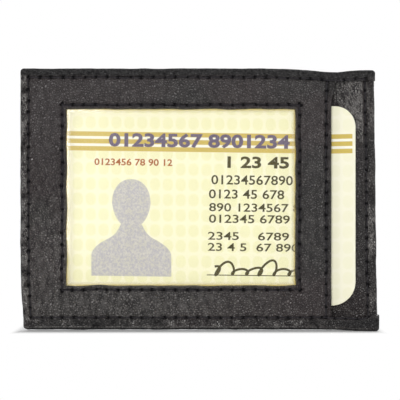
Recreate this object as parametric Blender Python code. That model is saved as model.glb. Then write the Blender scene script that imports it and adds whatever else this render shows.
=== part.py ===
"""Leather card wallet with an ID window in front and a sprung, hinged banknote clip behind.

The wallet stands on its lower long edge. +X runs towards the mouth of the ID pocket, +Z runs
up, and the window faces -Y, so the clip is on the +Y side. The origin is at the middle of the
foot of the whole object. All sizes are in metres.
"""

import math

import bmesh
import bpy
from mathutils import Matrix, Vector

# Spaces that the whole wallet shares
SEAT_GAP = 0.0003            # left between two pieces that touch
OVERRUN = 0.003              # how far a cutter runs past what it cuts

# ID card, and how far it stands from the wallet's edges
CARD_WIDTH = 0.0856
CARD_HEIGHT = 0.05398
CARD_THICKNESS = 0.00076
CARD_CORNER = 0.0056
CARD_LEFT_MARGIN = 0.0049
CARD_RIGHT_MARGIN = 0.00565
CARD_BOTTOM_MARGIN = 0.0069
CARD_TOP_MARGIN = 0.0101

# Leather of the wallet
FRONT_LEATHER = 0.0012
WALL_LEATHER = 0.0010
BACK_LEATHER = 0.0012
BODY_CORNER = 0.0012         # corner radius of the wallet seen from the front
LEAST_CORNER = 0.0003        # corner radius that an outline drawn far in still keeps
EDGE_ROLL = 0.0007           # radius of the outer turned edges
FINE_ROLL = 0.0004           # radius of the edges of the window, the mouth and the pocket wall
TURNED_ALLOWANCE = 0.0036    # leather folded inwards behind the edge
STRIP_WIDTH = 0.0029         # narrow ends of the front panel above and below the mouth
MOUTH_MARGIN = 0.0124        # from the pocket's mouth to the wallet's right edge

# Rails of leather round the window
LEFT_RAIL = 0.0124
RIGHT_RAIL = 0.00965
TOP_RAIL = 0.0110
BOTTOM_RAIL = 0.0124
WINDOW_CORNER = 0.0006
FILM_THICKNESS = 0.0003
FILM_LAP = 0.0030            # film held behind each rail

# Grooves that the seams draw into the leather
SEAM_INSET = 0.0024
WINDOW_SEAM_OFFSET = 0.00115
MOUTH_SEAM_OFFSET = 0.00135
GROOVE_WIDTH = 0.0006
GROOVE_DEPTH = 0.0003

# Rivets of the clip, and their washers
RIVET_RADIUS = 0.0013
RIVET_HEAD_RADIUS = 0.0023
RIVET_HEAD_HEIGHT = 0.0006
RIVET_BORE_RADIUS = 0.0008
RIVET_BORE_DEPTH = 0.0018
CLENCH_RADIUS = 0.0021
CLENCH_THICKNESS = 0.0003
WASHER_RADIUS = 0.0034
WASHER_THICKNESS = 0.0004
RIVET_FIRST = 0.0090         # from the hinge to the nearer rivet
RIVET_SPACING = 0.0160

# Clip: base plate, hinge, sprung arm and leaf spring
CLIP_WIDTH = 0.0180
PLATE_THICKNESS = 0.0010
PLATE_HEEL = 0.0034          # plate behind the hinge
PLATE_LAND = 0.0050          # plate past the place where the arm presses
PLATE_CORNER = 0.0030
BEND_RADIUS = 0.0004         # inside radius of a folded edge
FLANGE_HEIGHT = 0.0005       # upturned long edges of the plate
PIN_RADIUS = 0.0008
PIN_CLEARANCE = 0.0002
PIN_HEAD_RADIUS = 0.0014
PIN_HEAD_HEIGHT = 0.0005
LUG_WALL = 0.0012            # metal round the pin in each lug of the plate
ARM_THICKNESS = 0.0008
ARM_SIDE_CLEARANCE = 0.0003
ARM_FALL_DEGREES = 9.0       # slope at which the arm comes down on the plate
ARM_CORNER = 0.0040
LIP_RADIUS = 0.0160
LIP_DEGREES = 28.0
ROLL_DEGREES = 280.0         # how far the arm's end is rolled round the pin
SPRING_THICKNESS = 0.0004
SPRING_WIDTH = 0.0090
SPRING_TAIL = 0.0050         # spring past the farther rivet
SPRING_CORNER = 0.0020

# Facets of the round forms
CORNER_STEPS = 5
CARD_CORNER_STEPS = 8
ROLL_STEPS = 3
ARC_STEPS = 12
TURN_STEPS = 32

# Outline of the wallet, from the card and its margins
BODY_WIDTH = CARD_LEFT_MARGIN + CARD_WIDTH + CARD_RIGHT_MARGIN
BODY_HEIGHT = CARD_BOTTOM_MARGIN + CARD_HEIGHT + CARD_TOP_MARGIN
LEFT = -BODY_WIDTH / 2
RIGHT = BODY_WIDTH / 2
MOUTH = RIGHT - MOUTH_MARGIN

# The board is as thick as a rivet's clenched end and its washer, which lie in its holes
BOARD_THICKNESS = WASHER_THICKNESS + SEAT_GAP + CLENCH_THICKNESS

# Places of the hinge and of the leaf spring above the plate's outer face
KNUCKLE_RADIUS = PIN_RADIUS + PIN_CLEARANCE + ARM_THICKNESS
LUG_RADIUS = PIN_RADIUS + PIN_CLEARANCE + LUG_WALL
HINGE_HEIGHT = SEAT_GAP + SPRING_THICKNESS + SEAT_GAP + KNUCKLE_RADIUS

# Layers from the front to the back, as distances from the front face
FRONT_BACK = FRONT_LEATHER
FILM_FRONT = FRONT_BACK + SEAT_GAP
FILM_BACK = FILM_FRONT + FILM_THICKNESS
CARD_FRONT = FILM_BACK + SEAT_GAP
CARD_BACK = CARD_FRONT + CARD_THICKNESS
WALL_FRONT = CARD_BACK + SEAT_GAP
WALL_BACK = WALL_FRONT + WALL_LEATHER
BOARD_FRONT = WALL_BACK + SEAT_GAP
BOARD_BACK = BOARD_FRONT + BOARD_THICKNESS
BACK_INNER = BOARD_BACK + SEAT_GAP
BACK_FACE = BACK_INNER + BACK_LEATHER
PLATE_SEAT = BACK_FACE + SEAT_GAP
PLATE_FACE = PLATE_SEAT + PLATE_THICKNESS
HINGE_DEPTH = PLATE_FACE + HINGE_HEIGHT
TOTAL_DEPTH = HINGE_DEPTH + LUG_RADIUS
FRONT_FACE = -TOTAL_DEPTH / 2

# Run of the arm: one long shallow arc down to the plate, then a lip that turns up
ARM_FALL = math.radians(ARM_FALL_DEGREES)
LIP_RISE = math.radians(LIP_DEGREES)
ARM_WIDTH = CLIP_WIDTH - 2 * PLATE_THICKNESS - 2 * ARM_SIDE_CLEARANCE
ARM_START = KNUCKLE_RADIUS - ARM_THICKNESS / 2
ARM_DROP = HINGE_HEIGHT + ARM_START - SEAT_GAP - ARM_THICKNESS / 2
LIP_DIP = LIP_RADIUS * (1 - math.cos(ARM_FALL))
ARM_SPAN = (ARM_DROP - LIP_DIP) / math.tan(ARM_FALL / 2)
ARM_RADIUS = ARM_SPAN / math.sin(ARM_FALL)
ARM_REACH = ARM_SPAN + LIP_RADIUS * (math.sin(ARM_FALL) + math.sin(LIP_RISE))
PLATE_REACH = ARM_SPAN + PLATE_LAND

# The clip lies in the middle of the back
HINGE_X = (PLATE_HEEL - ARM_REACH) / 2
HINGE_Y = FRONT_FACE + HINGE_DEPTH
CLIP_Z = BODY_HEIGHT / 2
RIVET_PLACES = [HINGE_X + RIVET_FIRST, HINGE_X + RIVET_FIRST + RIVET_SPACING]
SHANK_HOLE = RIVET_RADIUS + SEAT_GAP


def clear_scene():
    for item in list(bpy.data.objects):
        bpy.data.objects.remove(item, do_unlink=True)


def finish_material(name, colour, roughness, metallic=0.0, alpha=1.0):
    """One plain finish: colour, roughness and metal share."""
    material = bpy.data.materials.new(name)
    material.use_nodes = True
    shader = material.node_tree.nodes["Principled BSDF"]
    shader.inputs["Base Color"].default_value = (*colour, 1.0)
    shader.inputs["Roughness"].default_value = roughness
    shader.inputs["Metallic"].default_value = metallic
    shader.inputs["Alpha"].default_value = alpha
    material.diffuse_color = (*colour, alpha)
    return material


def leather(name):
    return finish_material(name, (0.060, 0.053, 0.051), 0.55)


def steel(name):
    return finish_material(name, (0.62, 0.62, 0.63), 0.22, metallic=1.0)


def make_object(name, mesh_data, place=(0.0, 0.0, 0.0), material=None, parent=None):
    """Turns a bmesh into a named object whose faces point outwards."""
    bmesh.ops.recalc_face_normals(mesh_data, faces=mesh_data.faces)
    mesh = bpy.data.meshes.new(name)
    mesh_data.to_mesh(mesh)
    mesh_data.free()
    piece = bpy.data.objects.new(name, mesh)
    bpy.context.collection.objects.link(piece)
    piece.location = place
    piece.parent = parent
    if material is not None:
        mesh.materials.append(material)
        mesh.shade_smooth()
        mesh.set_sharp_from_angle(angle=math.radians(35.0))
    return piece


def make_empty(name, place=(0.0, 0.0, 0.0), parent=None):
    empty = bpy.data.objects.new(name, None)
    bpy.context.collection.objects.link(empty)
    empty.location = place
    empty.parent = parent
    return empty


def arc(centre, radius, start, end, steps):
    """Points of an arc between two angles in radians, both ends included."""
    angles = [start + (end - start) * index / steps for index in range(steps + 1)]
    return [(centre[0] + radius * math.cos(angle), centre[1] + radius * math.sin(angle))
            for angle in angles]


def rounded_rectangle(low, high, corner, steps=CORNER_STEPS):
    """Outline from the corner low to the corner high, with a radius at each corner."""
    quarter = math.pi / 2
    centres = [(high[0] - corner, high[1] - corner), (low[0] + corner, high[1] - corner),
               (low[0] + corner, low[1] + corner), (high[0] - corner, low[1] + corner)]
    points = []
    for index, centre in enumerate(centres):
        points += arc(centre, corner, index * quarter, (index + 1) * quarter, steps)
    return points


def body_outline(inset):
    """Outline of the wallet in X and Z, drawn in by an inset."""
    corner = max(BODY_CORNER - inset, LEAST_CORNER)
    return rounded_rectangle((LEFT + inset, inset), (RIGHT - inset, BODY_HEIGHT - inset), corner)


def window_outline(offset):
    """Outline of the window in X and Z, let out by an offset."""
    low = (LEFT + LEFT_RAIL - offset, BOTTOM_RAIL - offset)
    high = (MOUTH - RIGHT_RAIL + offset, BODY_HEIGHT - TOP_RAIL + offset)
    return rounded_rectangle(low, high, WINDOW_CORNER + offset)


def rounding(radius):
    """Steps of a rounded edge as pairs: distance in from the side, depth below the face."""
    quarter = math.pi / 2
    angles = [quarter * index / ROLL_STEPS for index in range(ROLL_STEPS + 1)]
    return [(radius * (1 - math.sin(angle)), radius * (1 - math.cos(angle))) for angle in angles]


def loft(sections, ring=False):
    """Skins outlines in X and Z that lie at given depths Y. A ring closes on itself."""
    shape = bmesh.new()
    loops = [[shape.verts.new((x, depth, z)) for x, z in outline] for outline, depth in sections]
    pairs = list(zip(loops, loops[1:]))
    if ring:
        pairs.append((loops[-1], loops[0]))
    for near, far in pairs:
        for index in range(len(near)):
            following = (index + 1) % len(near)
            shape.faces.new((near[index], near[following], far[following], far[index]))
    if not ring:
        shape.faces.new(loops[0])
        shape.faces.new(loops[-1])
    return shape


def prism(outline, axis, start, end):
    """Extrudes an outline along X, Y or Z. It is given in the other two axes, in their order."""
    order = {"X": (2, 0, 1), "Y": (0, 2, 1), "Z": (0, 1, 2)}[axis]
    shape = bmesh.new()
    corners = []
    for first, second in outline:
        values = (first, second, start)
        corners.append(shape.verts.new([values[place] for place in order]))
    face = shape.faces.new(corners)
    lifted = bmesh.ops.extrude_face_region(shape, geom=[face])["geom"]
    moved = [item for item in lifted if isinstance(item, bmesh.types.BMVert)]
    direction = {"X": Vector((1, 0, 0)), "Y": Vector((0, 1, 0)), "Z": Vector((0, 0, 1))}[axis]
    bmesh.ops.translate(shape, verts=moved, vec=direction * (end - start))
    return shape


def turned(profile, turn=None):
    """Spins a closed or on-axis profile of (radius, height) pairs about Z, then turns it."""
    shape = bmesh.new()
    verts = [shape.verts.new((radius, 0.0, height)) for radius, height in profile]
    edges = [shape.edges.new(pair) for pair in zip(verts, verts[1:])]
    if profile[0][0] > 0.0:
        edges.append(shape.edges.new((verts[-1], verts[0])))
    bmesh.ops.spin(shape, geom=verts + edges, cent=(0, 0, 0), axis=(0, 0, 1), dvec=(0, 0, 0),
                   angle=2 * math.pi, steps=TURN_STEPS, use_merge=True, use_duplicate=False)
    bmesh.ops.remove_doubles(shape, verts=shape.verts, dist=SEAT_GAP / 100)
    if turn is not None:
        bmesh.ops.transform(shape, matrix=turn, verts=shape.verts)
    return shape


def cut(target, shape, place=(0.0, 0.0, 0.0), operation="DIFFERENCE"):
    """Cuts a piece with a shape, or keeps only what both share."""
    name = f"{target.name}_cutter_{len(target.modifiers) + 1}"
    cutter = make_object(name, shape, place)
    cutter.hide_render = True
    cutter.display_type = "WIRE"
    modifier = target.modifiers.new(name, "BOOLEAN")
    modifier.operation = operation
    modifier.solver = "EXACT"
    modifier.object = cutter


def seam_ring(outline_at, inset, face, inwards):
    """Groove that a seam draws round an outline, cut from a face towards the leather."""
    half = GROOVE_WIDTH / 2
    outside = face - inwards * OVERRUN
    surface = face
    floor = face + inwards * GROOVE_DEPTH
    return loft([(outline_at(inset - half), outside), (outline_at(inset - half), surface),
                 (outline_at(inset), floor), (outline_at(inset + half), surface),
                 (outline_at(inset + half), outside)], ring=True)


def seam_line(x, face, inwards, low, high):
    """Straight upright groove that a seam draws at one X."""
    half = GROOVE_WIDTH / 2
    outside = face - inwards * OVERRUN
    section = [(x - half, outside), (x + half, outside), (x + half, face),
               (x, face + inwards * GROOVE_DEPTH), (x - half, face)]
    return prism(section, "Z", low, high)


def rivet_holes(target, radius, start, end):
    """Two round holes for the rivets, from one depth to another."""
    for place in RIVET_PLACES:
        hole = arc((place, CLIP_Z), radius, 0.0, 2 * math.pi, TURN_STEPS)[:-1]
        cut(target, prism(hole, "Y", start, end))


def make_front_panel(parent):
    """Leather front: turned edges on three sides, the window, and the mouth of the pocket."""
    back = FRONT_FACE + WALL_FRONT - SEAT_GAP
    sections = [(body_outline(inset), FRONT_FACE + depth) for inset, depth in rounding(EDGE_ROLL)]
    sections.append((body_outline(0.0), back))
    panel = make_object("front_panel", loft(sections), material=leather("front_leather"),
                        parent=parent)

    pocket_low = (LEFT + TURNED_ALLOWANCE, TURNED_ALLOWANCE)
    pocket_high = (RIGHT + OVERRUN, BODY_HEIGHT - TURNED_ALLOWANCE)
    pocket = rounded_rectangle(pocket_low, pocket_high, FINE_ROLL)
    cut(panel, prism(pocket, "Y", FRONT_FACE + FRONT_BACK, back + OVERRUN))

    front = FRONT_FACE - OVERRUN
    mouth = [(RIGHT + OVERRUN, front), (RIGHT + OVERRUN, back + OVERRUN), (MOUTH, back + OVERRUN)]
    mouth += [(MOUTH - inset, FRONT_FACE + depth) for inset, depth in reversed(rounding(FINE_ROLL))]
    mouth.append((MOUTH - FINE_ROLL, front))
    cut(panel, prism(mouth, "Z", STRIP_WIDTH, BODY_HEIGHT - STRIP_WIDTH))

    opening = [(window_outline(FINE_ROLL), front)]
    opening += [(window_outline(offset), FRONT_FACE + depth)
                for offset, depth in rounding(FINE_ROLL)]
    opening.append((window_outline(0.0), back))
    cut(panel, loft(opening))

    cut(panel, seam_ring(body_outline, SEAM_INSET, FRONT_FACE, 1))
    cut(panel, seam_ring(window_outline, WINDOW_SEAM_OFFSET, FRONT_FACE, 1))
    cut(panel, seam_line(MOUTH - MOUTH_SEAM_OFFSET, FRONT_FACE, 1,
                         SEAM_INSET + GROOVE_WIDTH, BODY_HEIGHT - SEAM_INSET - GROOVE_WIDTH))


def make_window_film(parent):
    """Clear film behind the window, held by the window's seam."""
    film = prism(window_outline(FILM_LAP), "Y", FRONT_FACE + FILM_FRONT, FRONT_FACE + FILM_BACK)
    clear = finish_material("clear_film", (0.93, 0.95, 0.95), 0.08, alpha=0.12)
    make_object("window_film", film, material=clear, parent=parent)


def make_id_card(parent):
    """Loose plastic card, which slides out of the mouth."""
    half_width = CARD_WIDTH / 2
    half_height = CARD_HEIGHT / 2
    outline = rounded_rectangle((-half_width, -half_height), (half_width, half_height),
                                CARD_CORNER, CARD_CORNER_STEPS)
    centre = (LEFT + CARD_LEFT_MARGIN + half_width, FRONT_FACE + CARD_FRONT,
              CARD_BOTTOM_MARGIN + half_height)
    plastic = finish_material("card_plastic", (0.93, 0.90, 0.66), 0.42)
    make_object("id_card", prism(outline, "Y", 0.0, CARD_THICKNESS), centre, plastic, parent)


def make_pocket_wall(parent):
    """Leather back of the ID pocket. Its right band shows beside the mouth."""
    front = FRONT_FACE + WALL_FRONT
    back = FRONT_FACE + WALL_BACK
    sections = [(body_outline(inset), front + depth) for inset, depth in rounding(FINE_ROLL)]
    sections += [(body_outline(inset), back - depth)
                 for inset, depth in reversed(rounding(FINE_ROLL))]
    wall = make_object("pocket_wall", loft(sections), material=leather("wall_leather"),
                       parent=parent)
    cut(wall, seam_line(RIGHT - SEAM_INSET, front, 1, -OVERRUN, BODY_HEIGHT + OVERRUN))


def make_core_board(parent):
    """Stiff board in the turned tray of the back panel, punched out round the rivets."""
    inset = TURNED_ALLOWANCE + SEAT_GAP
    outline = rounded_rectangle((LEFT + inset, inset), (RIGHT - inset, BODY_HEIGHT - inset),
                                BODY_CORNER)
    front = FRONT_FACE + BOARD_FRONT
    back = FRONT_FACE + BOARD_BACK
    board = make_object("core_board", prism(outline, "Y", front, back),
                        material=finish_material("board", (0.20, 0.13, 0.08), 0.85), parent=parent)
    rivet_holes(board, WASHER_RADIUS + SEAT_GAP, front - OVERRUN, back + OVERRUN)


def make_back_panel(parent):
    """Leather back, a shallow tray whose turned edges reach forward round the board."""
    front = FRONT_FACE + WALL_BACK + SEAT_GAP
    inner = FRONT_FACE + BACK_INNER
    back = FRONT_FACE + BACK_FACE
    sections = [(body_outline(0.0), front)]
    sections += [(body_outline(inset), back - depth)
                 for inset, depth in reversed(rounding(EDGE_ROLL))]
    panel = make_object("back_panel", loft(sections), material=leather("back_leather"),
                        parent=parent)
    tray = rounded_rectangle((LEFT + TURNED_ALLOWANCE, TURNED_ALLOWANCE),
                             (RIGHT - TURNED_ALLOWANCE, BODY_HEIGHT - TURNED_ALLOWANCE),
                             BODY_CORNER)
    cut(panel, prism(tray, "Y", front - OVERRUN, inner))
    cut(panel, seam_ring(body_outline, SEAM_INSET, back, -1))
    rivet_holes(panel, SHANK_HOLE, inner - OVERRUN, back + OVERRUN)


def channel_section():
    """Cross-section of the plate in Y and Z: a floor with two folded-up sides."""
    half = CLIP_WIDTH / 2
    outer = PLATE_THICKNESS + BEND_RADIUS
    top = HINGE_HEIGHT + LUG_RADIUS + OVERRUN
    floor = -PLATE_THICKNESS
    quarter = math.pi / 2
    inner_side = half - PLATE_THICKNESS
    points = [(top, -half)]
    points += arc((floor + outer, -half + outer), outer, -quarter, -2 * quarter, CORNER_STEPS)
    points += arc((floor + outer, half - outer), outer, 2 * quarter, quarter, CORNER_STEPS)
    points += [(top, half), (top, inner_side)]
    points += arc((BEND_RADIUS, inner_side - BEND_RADIUS), BEND_RADIUS, quarter, 2 * quarter,
                  CORNER_STEPS)
    points += arc((BEND_RADIUS, BEND_RADIUS - inner_side), BEND_RADIUS, -2 * quarter, -quarter,
                  CORNER_STEPS)
    points.append((top, -inner_side))
    return points


def make_clip_base(parent):
    """Stamped base plate: low flanges along its length, two lugs that hold the pin."""
    place = (HINGE_X, FRONT_FACE + PLATE_FACE, CLIP_Z)
    base = make_object("clip_base", prism(channel_section(), "X", -PLATE_HEEL, PLATE_REACH), place,
                       steel("clip_base_steel"), parent)

    half = CLIP_WIDTH / 2
    corner_run = PLATE_HEEL + PLATE_CORNER
    plan = rounded_rectangle((-corner_run, -half - SEAT_GAP), (PLATE_REACH, half + SEAT_GAP),
                             PLATE_CORNER)
    top = HINGE_HEIGHT + LUG_RADIUS + 2 * OVERRUN
    cut(base, prism(plan, "Y", -PLATE_THICKNESS - OVERRUN, top), place, "INTERSECT")

    far = PLATE_REACH + OVERRUN
    near = -PLATE_HEEL - OVERRUN
    trim = [(far, FLANGE_HEIGHT), (far, top), (near, top), (near, FLANGE_HEIGHT),
            (-LUG_RADIUS, FLANGE_HEIGHT)]
    trim += arc((0.0, HINGE_HEIGHT), LUG_RADIUS, math.pi, 0.0, ARC_STEPS)
    trim.append((LUG_RADIUS, FLANGE_HEIGHT))
    cut(base, prism(trim, "Z", -half - OVERRUN, half + OVERRUN), place)

    bore = arc((0.0, HINGE_HEIGHT), PIN_RADIUS + PIN_CLEARANCE, 0.0, 2 * math.pi, TURN_STEPS)[:-1]
    cut(base, prism(bore, "Z", -half - OVERRUN, half + OVERRUN), place)
    rivet_holes(base, SHANK_HOLE, FRONT_FACE + PLATE_SEAT - SEAT_GAP,
                FRONT_FACE + PLATE_FACE + SEAT_GAP)


def arm_centreline():
    """Middle of the arm's strip from the knuckle's top to the end of the lip, with slopes."""
    line = []
    for index in range(ARC_STEPS + 1):
        angle = ARM_FALL * index / ARC_STEPS
        line.append((ARM_RADIUS * math.sin(angle),
                     ARM_START - ARM_RADIUS * (1 - math.cos(angle)), -angle))
    foot_x, foot_y = line[-1][:2]
    for index in range(1, ARC_STEPS + 1):
        angle = -ARM_FALL + (ARM_FALL + LIP_RISE) * index / ARC_STEPS
        line.append((foot_x + LIP_RADIUS * (math.sin(angle) + math.sin(ARM_FALL)),
                     foot_y + LIP_RADIUS * (math.cos(ARM_FALL) - math.cos(angle)), angle))
    return line


def arm_side(side):
    """One face of the arm's strip, half its thickness from the centreline."""
    half = side * ARM_THICKNESS / 2
    return [(x - half * math.sin(angle), y + half * math.cos(angle))
            for x, y, angle in arm_centreline()]


def make_clip_arm(hinge):
    """Sprung arm: one strip of steel, rolled round the pin and turned up at its tip."""
    top = math.pi / 2
    end = top + math.radians(ROLL_DEGREES)
    roll_steps = 2 * ARC_STEPS
    profile = list(reversed(arm_side(1)))
    profile += arc((0.0, 0.0), KNUCKLE_RADIUS, top, end, roll_steps)[1:]
    profile += arc((0.0, 0.0), KNUCKLE_RADIUS - ARM_THICKNESS, end, top, roll_steps)
    profile += arm_side(-1)[1:]
    half = ARM_WIDTH / 2
    arm = make_object("clip_arm", prism(profile, "Z", -half, half),
                      material=steel("clip_arm_steel"), parent=hinge)
    behind = KNUCKLE_RADIUS + ARM_CORNER
    side = half + SEAT_GAP
    tip = ARM_REACH + SEAT_GAP
    plan = rounded_rectangle((-behind, -side), (tip, side), ARM_CORNER + SEAT_GAP)
    low = -HINGE_HEIGHT - OVERRUN
    cut(arm, prism(plan, "Y", low, KNUCKLE_RADIUS + OVERRUN), (HINGE_X, HINGE_Y, CLIP_Z),
        "INTERSECT")


def make_clip_spring(parent):
    """Flat leaf spring on the plate, clamped by both rivets, its end under the knuckle."""
    half = SPRING_WIDTH / 2
    outline = rounded_rectangle((HINGE_X - KNUCKLE_RADIUS, CLIP_Z - half),
                                (RIVET_PLACES[-1] + SPRING_TAIL, CLIP_Z + half), SPRING_CORNER)
    low = FRONT_FACE + PLATE_FACE + SEAT_GAP
    high = low + SPRING_THICKNESS
    spring = make_object("clip_spring", prism(outline, "Y", low, high),
                         material=steel("spring_steel"), parent=parent)
    rivet_holes(spring, SHANK_HOLE, low - SEAT_GAP, high + SEAT_GAP)


def dome(radius, height, steps=ROLL_STEPS):
    """Profile of a low domed head above height zero, from its rim to its middle."""
    quarter = math.pi / 2
    angles = [quarter * index / steps for index in range(steps + 1)]
    return [(radius * math.cos(angle), height * math.sin(angle)) for angle in angles[:-1]] + [
        (0.0, height)]


def make_hinge_pin(parent):
    """Plain pin with a domed head peened on each end."""
    shoulder = CLIP_WIDTH / 2 + SEAT_GAP
    upper = [(PIN_RADIUS, shoulder)] + [(radius, shoulder + height)
                                        for radius, height in dome(PIN_HEAD_RADIUS, PIN_HEAD_HEIGHT)]
    lower = [(radius, -height) for radius, height in reversed(upper)]
    make_object("hinge_pin", turned(lower + upper), (HINGE_X, HINGE_Y, CLIP_Z), steel("pin_steel"),
                parent)


def make_rivets(parent):
    """Semi-tubular rivets: domed head on the spring, shank, and an end clenched on a washer."""
    seat = PLATE_FACE + SEAT_GAP + SPRING_THICKNESS + SEAT_GAP
    washer_front = BACK_INNER - SEAT_GAP - WASHER_THICKNESS
    clench_back = washer_front - SEAT_GAP
    shank = clench_back - seat
    end = shank - CLENCH_THICKNESS
    profile = [(0.0, end + RIVET_BORE_DEPTH), (RIVET_BORE_RADIUS, end + RIVET_BORE_DEPTH),
               (RIVET_BORE_RADIUS, end), (CLENCH_RADIUS, end), (CLENCH_RADIUS, shank),
               (RIVET_RADIUS, shank), (RIVET_RADIUS, 0.0)]
    profile += dome(RIVET_HEAD_RADIUS, RIVET_HEAD_HEIGHT)
    ring = [(SHANK_HOLE, 0.0), (WASHER_RADIUS, 0.0), (WASHER_RADIUS, WASHER_THICKNESS),
            (SHANK_HOLE, WASHER_THICKNESS)]
    along_y = Matrix.Rotation(-math.pi / 2, 4, "X")
    for number, place in enumerate(RIVET_PLACES, start=1):
        make_object(f"rivet_{number}", turned(profile, along_y), (place, FRONT_FACE + seat, CLIP_Z),
                    steel(f"rivet_steel_{number}"), parent)
        make_object(f"rivet_washer_{number}", turned(ring, along_y),
                    (place, FRONT_FACE + washer_front, CLIP_Z), steel(f"washer_steel_{number}"),
                    parent)


clear_scene()
wallet = make_empty("wallet")
hinge_axis = make_empty("hinge_axis", (HINGE_X, HINGE_Y, CLIP_Z), wallet)
make_front_panel(wallet)
make_window_film(wallet)
make_id_card(wallet)
make_pocket_wall(wallet)
make_core_board(wallet)
make_back_panel(wallet)
make_clip_base(wallet)
make_clip_spring(wallet)
make_clip_arm(hinge_axis)
make_hinge_pin(wallet)
make_rivets(wallet)
bpy.context.view_layer.update()
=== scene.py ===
"""Looks of a slim leather card wallet: ID window and card in front, sprung banknote clip behind.

Lengths are in metres. +X runs towards the mouth of the ID pocket, +Z runs up and the window
faces -Y. The sections follow the wallet as it is put together, from the board outwards.
"""

import math
import random
from functools import partialmethod

import bmesh
import bpy
from mathutils import Matrix, Vector, noise


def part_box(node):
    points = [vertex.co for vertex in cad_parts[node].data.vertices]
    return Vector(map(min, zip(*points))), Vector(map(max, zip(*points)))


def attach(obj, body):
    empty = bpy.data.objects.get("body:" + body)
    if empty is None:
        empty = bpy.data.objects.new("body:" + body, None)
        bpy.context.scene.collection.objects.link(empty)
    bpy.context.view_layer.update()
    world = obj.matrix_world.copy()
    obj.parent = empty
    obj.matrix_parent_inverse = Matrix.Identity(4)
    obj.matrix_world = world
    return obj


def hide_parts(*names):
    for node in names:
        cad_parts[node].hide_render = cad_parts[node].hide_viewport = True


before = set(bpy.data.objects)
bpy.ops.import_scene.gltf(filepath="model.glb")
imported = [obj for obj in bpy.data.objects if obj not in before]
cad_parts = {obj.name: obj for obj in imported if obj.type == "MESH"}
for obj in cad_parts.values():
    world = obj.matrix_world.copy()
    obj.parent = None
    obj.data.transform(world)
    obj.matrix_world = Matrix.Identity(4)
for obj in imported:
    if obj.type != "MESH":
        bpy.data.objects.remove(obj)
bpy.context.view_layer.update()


# Core board: stiff brown fibre board, punched out round the rivets. It lies loose in the tray
# of the back panel, where the turned leather edges hold it, and keeps the wallet flat.
BOARD_PALE = (0.26, 0.18, 0.11)
BOARD_DARK = (0.15, 0.095, 0.055)
BOARD_FIBRE = 0.0006
FIBRE_STRETCH = (3.0, 1.0, 1.0)
BOARD_RELIEF = 0.00005


class Signal:
    """An output in a shader tree. Arithmetic on signals adds Math nodes to that tree."""

    def __init__(self, tree, socket=None):
        self.tree = tree
        self.socket = socket

    def node(self, kind, settings=None, inputs=None, output=0):
        """Adds any node: its settings first, then the values or links of its sockets."""
        made = self.tree.nodes.new("ShaderNode" + kind)
        for name, value in (settings or {}).items():
            setattr(made, name, value)
        for name, value in (inputs or {}).items():
            if isinstance(value, Signal):
                self.tree.links.new(value.socket, made.inputs[name])
            elif made.inputs[name].type == "RGBA":
                made.inputs[name].default_value = (*value[:3], 1.0)
            else:
                made.inputs[name].default_value = value
        return Signal(self.tree, made.outputs[output] if made.outputs else None)

    def math(self, operation, first, second=0.0):
        return self.node("Math", {"operation": operation}, {0: first, 1: second})

    def combined(self, operation, other):
        return self.math(operation, self, other)

    __add__ = __radd__ = partialmethod(combined, "ADD")
    __mul__ = __rmul__ = partialmethod(combined, "MULTIPLY")
    __sub__ = partialmethod(combined, "SUBTRACT")
    __truediv__ = partialmethod(combined, "DIVIDE")
    __pow__ = partialmethod(combined, "POWER")
    least = partialmethod(combined, "MINIMUM")
    most = partialmethod(combined, "MAXIMUM")

    def __rsub__(self, other):
        return self.math("SUBTRACT", other, self)

    def size(self):
        return self.math("ABSOLUTE", self)

    def part(self, axis):
        """One coordinate of a place."""
        return self.node("SeparateXYZ", None, {0: self}, axis)

    def step(self, low, high):
        """Rises smoothly from 0 at low to 1 at high, or falls where low is the larger."""
        return self.node("MapRange", {"interpolation_type": "SMOOTHSTEP"},
                         {"Value": self, "From Min": low, "From Max": high})

    def blend(self, first, second):
        """Colour that goes from the first to the second as this signal goes from 0 to 1."""
        return self.node("Mix", {"data_type": "RGBA"}, {0: self, 6: first, 7: second}, 2)

    def scaled(self, size, stretch=(1.0, 1.0, 1.0)):
        """A place counted in lumps of this size, longer along an axis whose stretch is large."""
        return self.node("Mapping", None,
                         {"Vector": self, "Scale": [1.0 / (size * share) for share in stretch]})

    def lumps(self, size, detail=2.0, stretch=(1.0, 1.0, 1.0)):
        """Soft random values from 0 to 1 whose lumps are about this size."""
        return self.node("TexNoise", None, {"Vector": self.scaled(size, stretch), "Scale": 1.0,
                                            "Detail": detail}, "Fac")

    def cells(self, size, **settings):
        """Distance within random cells that lie about this size apart."""
        return self.node("TexVoronoi", settings, {"Vector": self.scaled(size), "Scale": 1.0},
                         "Distance")


def start_finish(name):
    """A new material, and the place on the piece as the first signal of its tree."""
    material = bpy.data.materials.new(name)
    material.use_nodes = True
    material.node_tree.nodes.clear()
    return material, Signal(material.node_tree).node("TexCoord", output="Object")


def surface(place, colour, roughness, height, relief, sockets=None):
    """A surface with a colour, a roughness and a relief of real depth."""
    normal = place.node("Bump", None, {"Height": height, "Distance": relief, "Strength": 1.0})
    inputs = {"Base Color": colour, "Roughness": roughness, "Normal": normal}
    inputs.update(sockets or {})
    return place.node("BsdfPrincipled", None, inputs)


def end_finish(place, shader):
    place.node("OutputMaterial", None, {0: shader})


def dress(piece, material):
    piece.data.materials.clear()
    piece.data.materials.append(material)


board_finish, board_place = start_finish("fibre_board")
board_fibres = board_place.lumps(BOARD_FIBRE, 4.0, FIBRE_STRETCH)
end_finish(board_place, surface(
    board_place, board_fibres.step(0.3, 0.7).blend(BOARD_DARK, BOARD_PALE),
    0.92 - 0.15 * board_fibres, board_fibres, BOARD_RELIEF))
dress(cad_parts["core_board"], board_finish)


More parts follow.
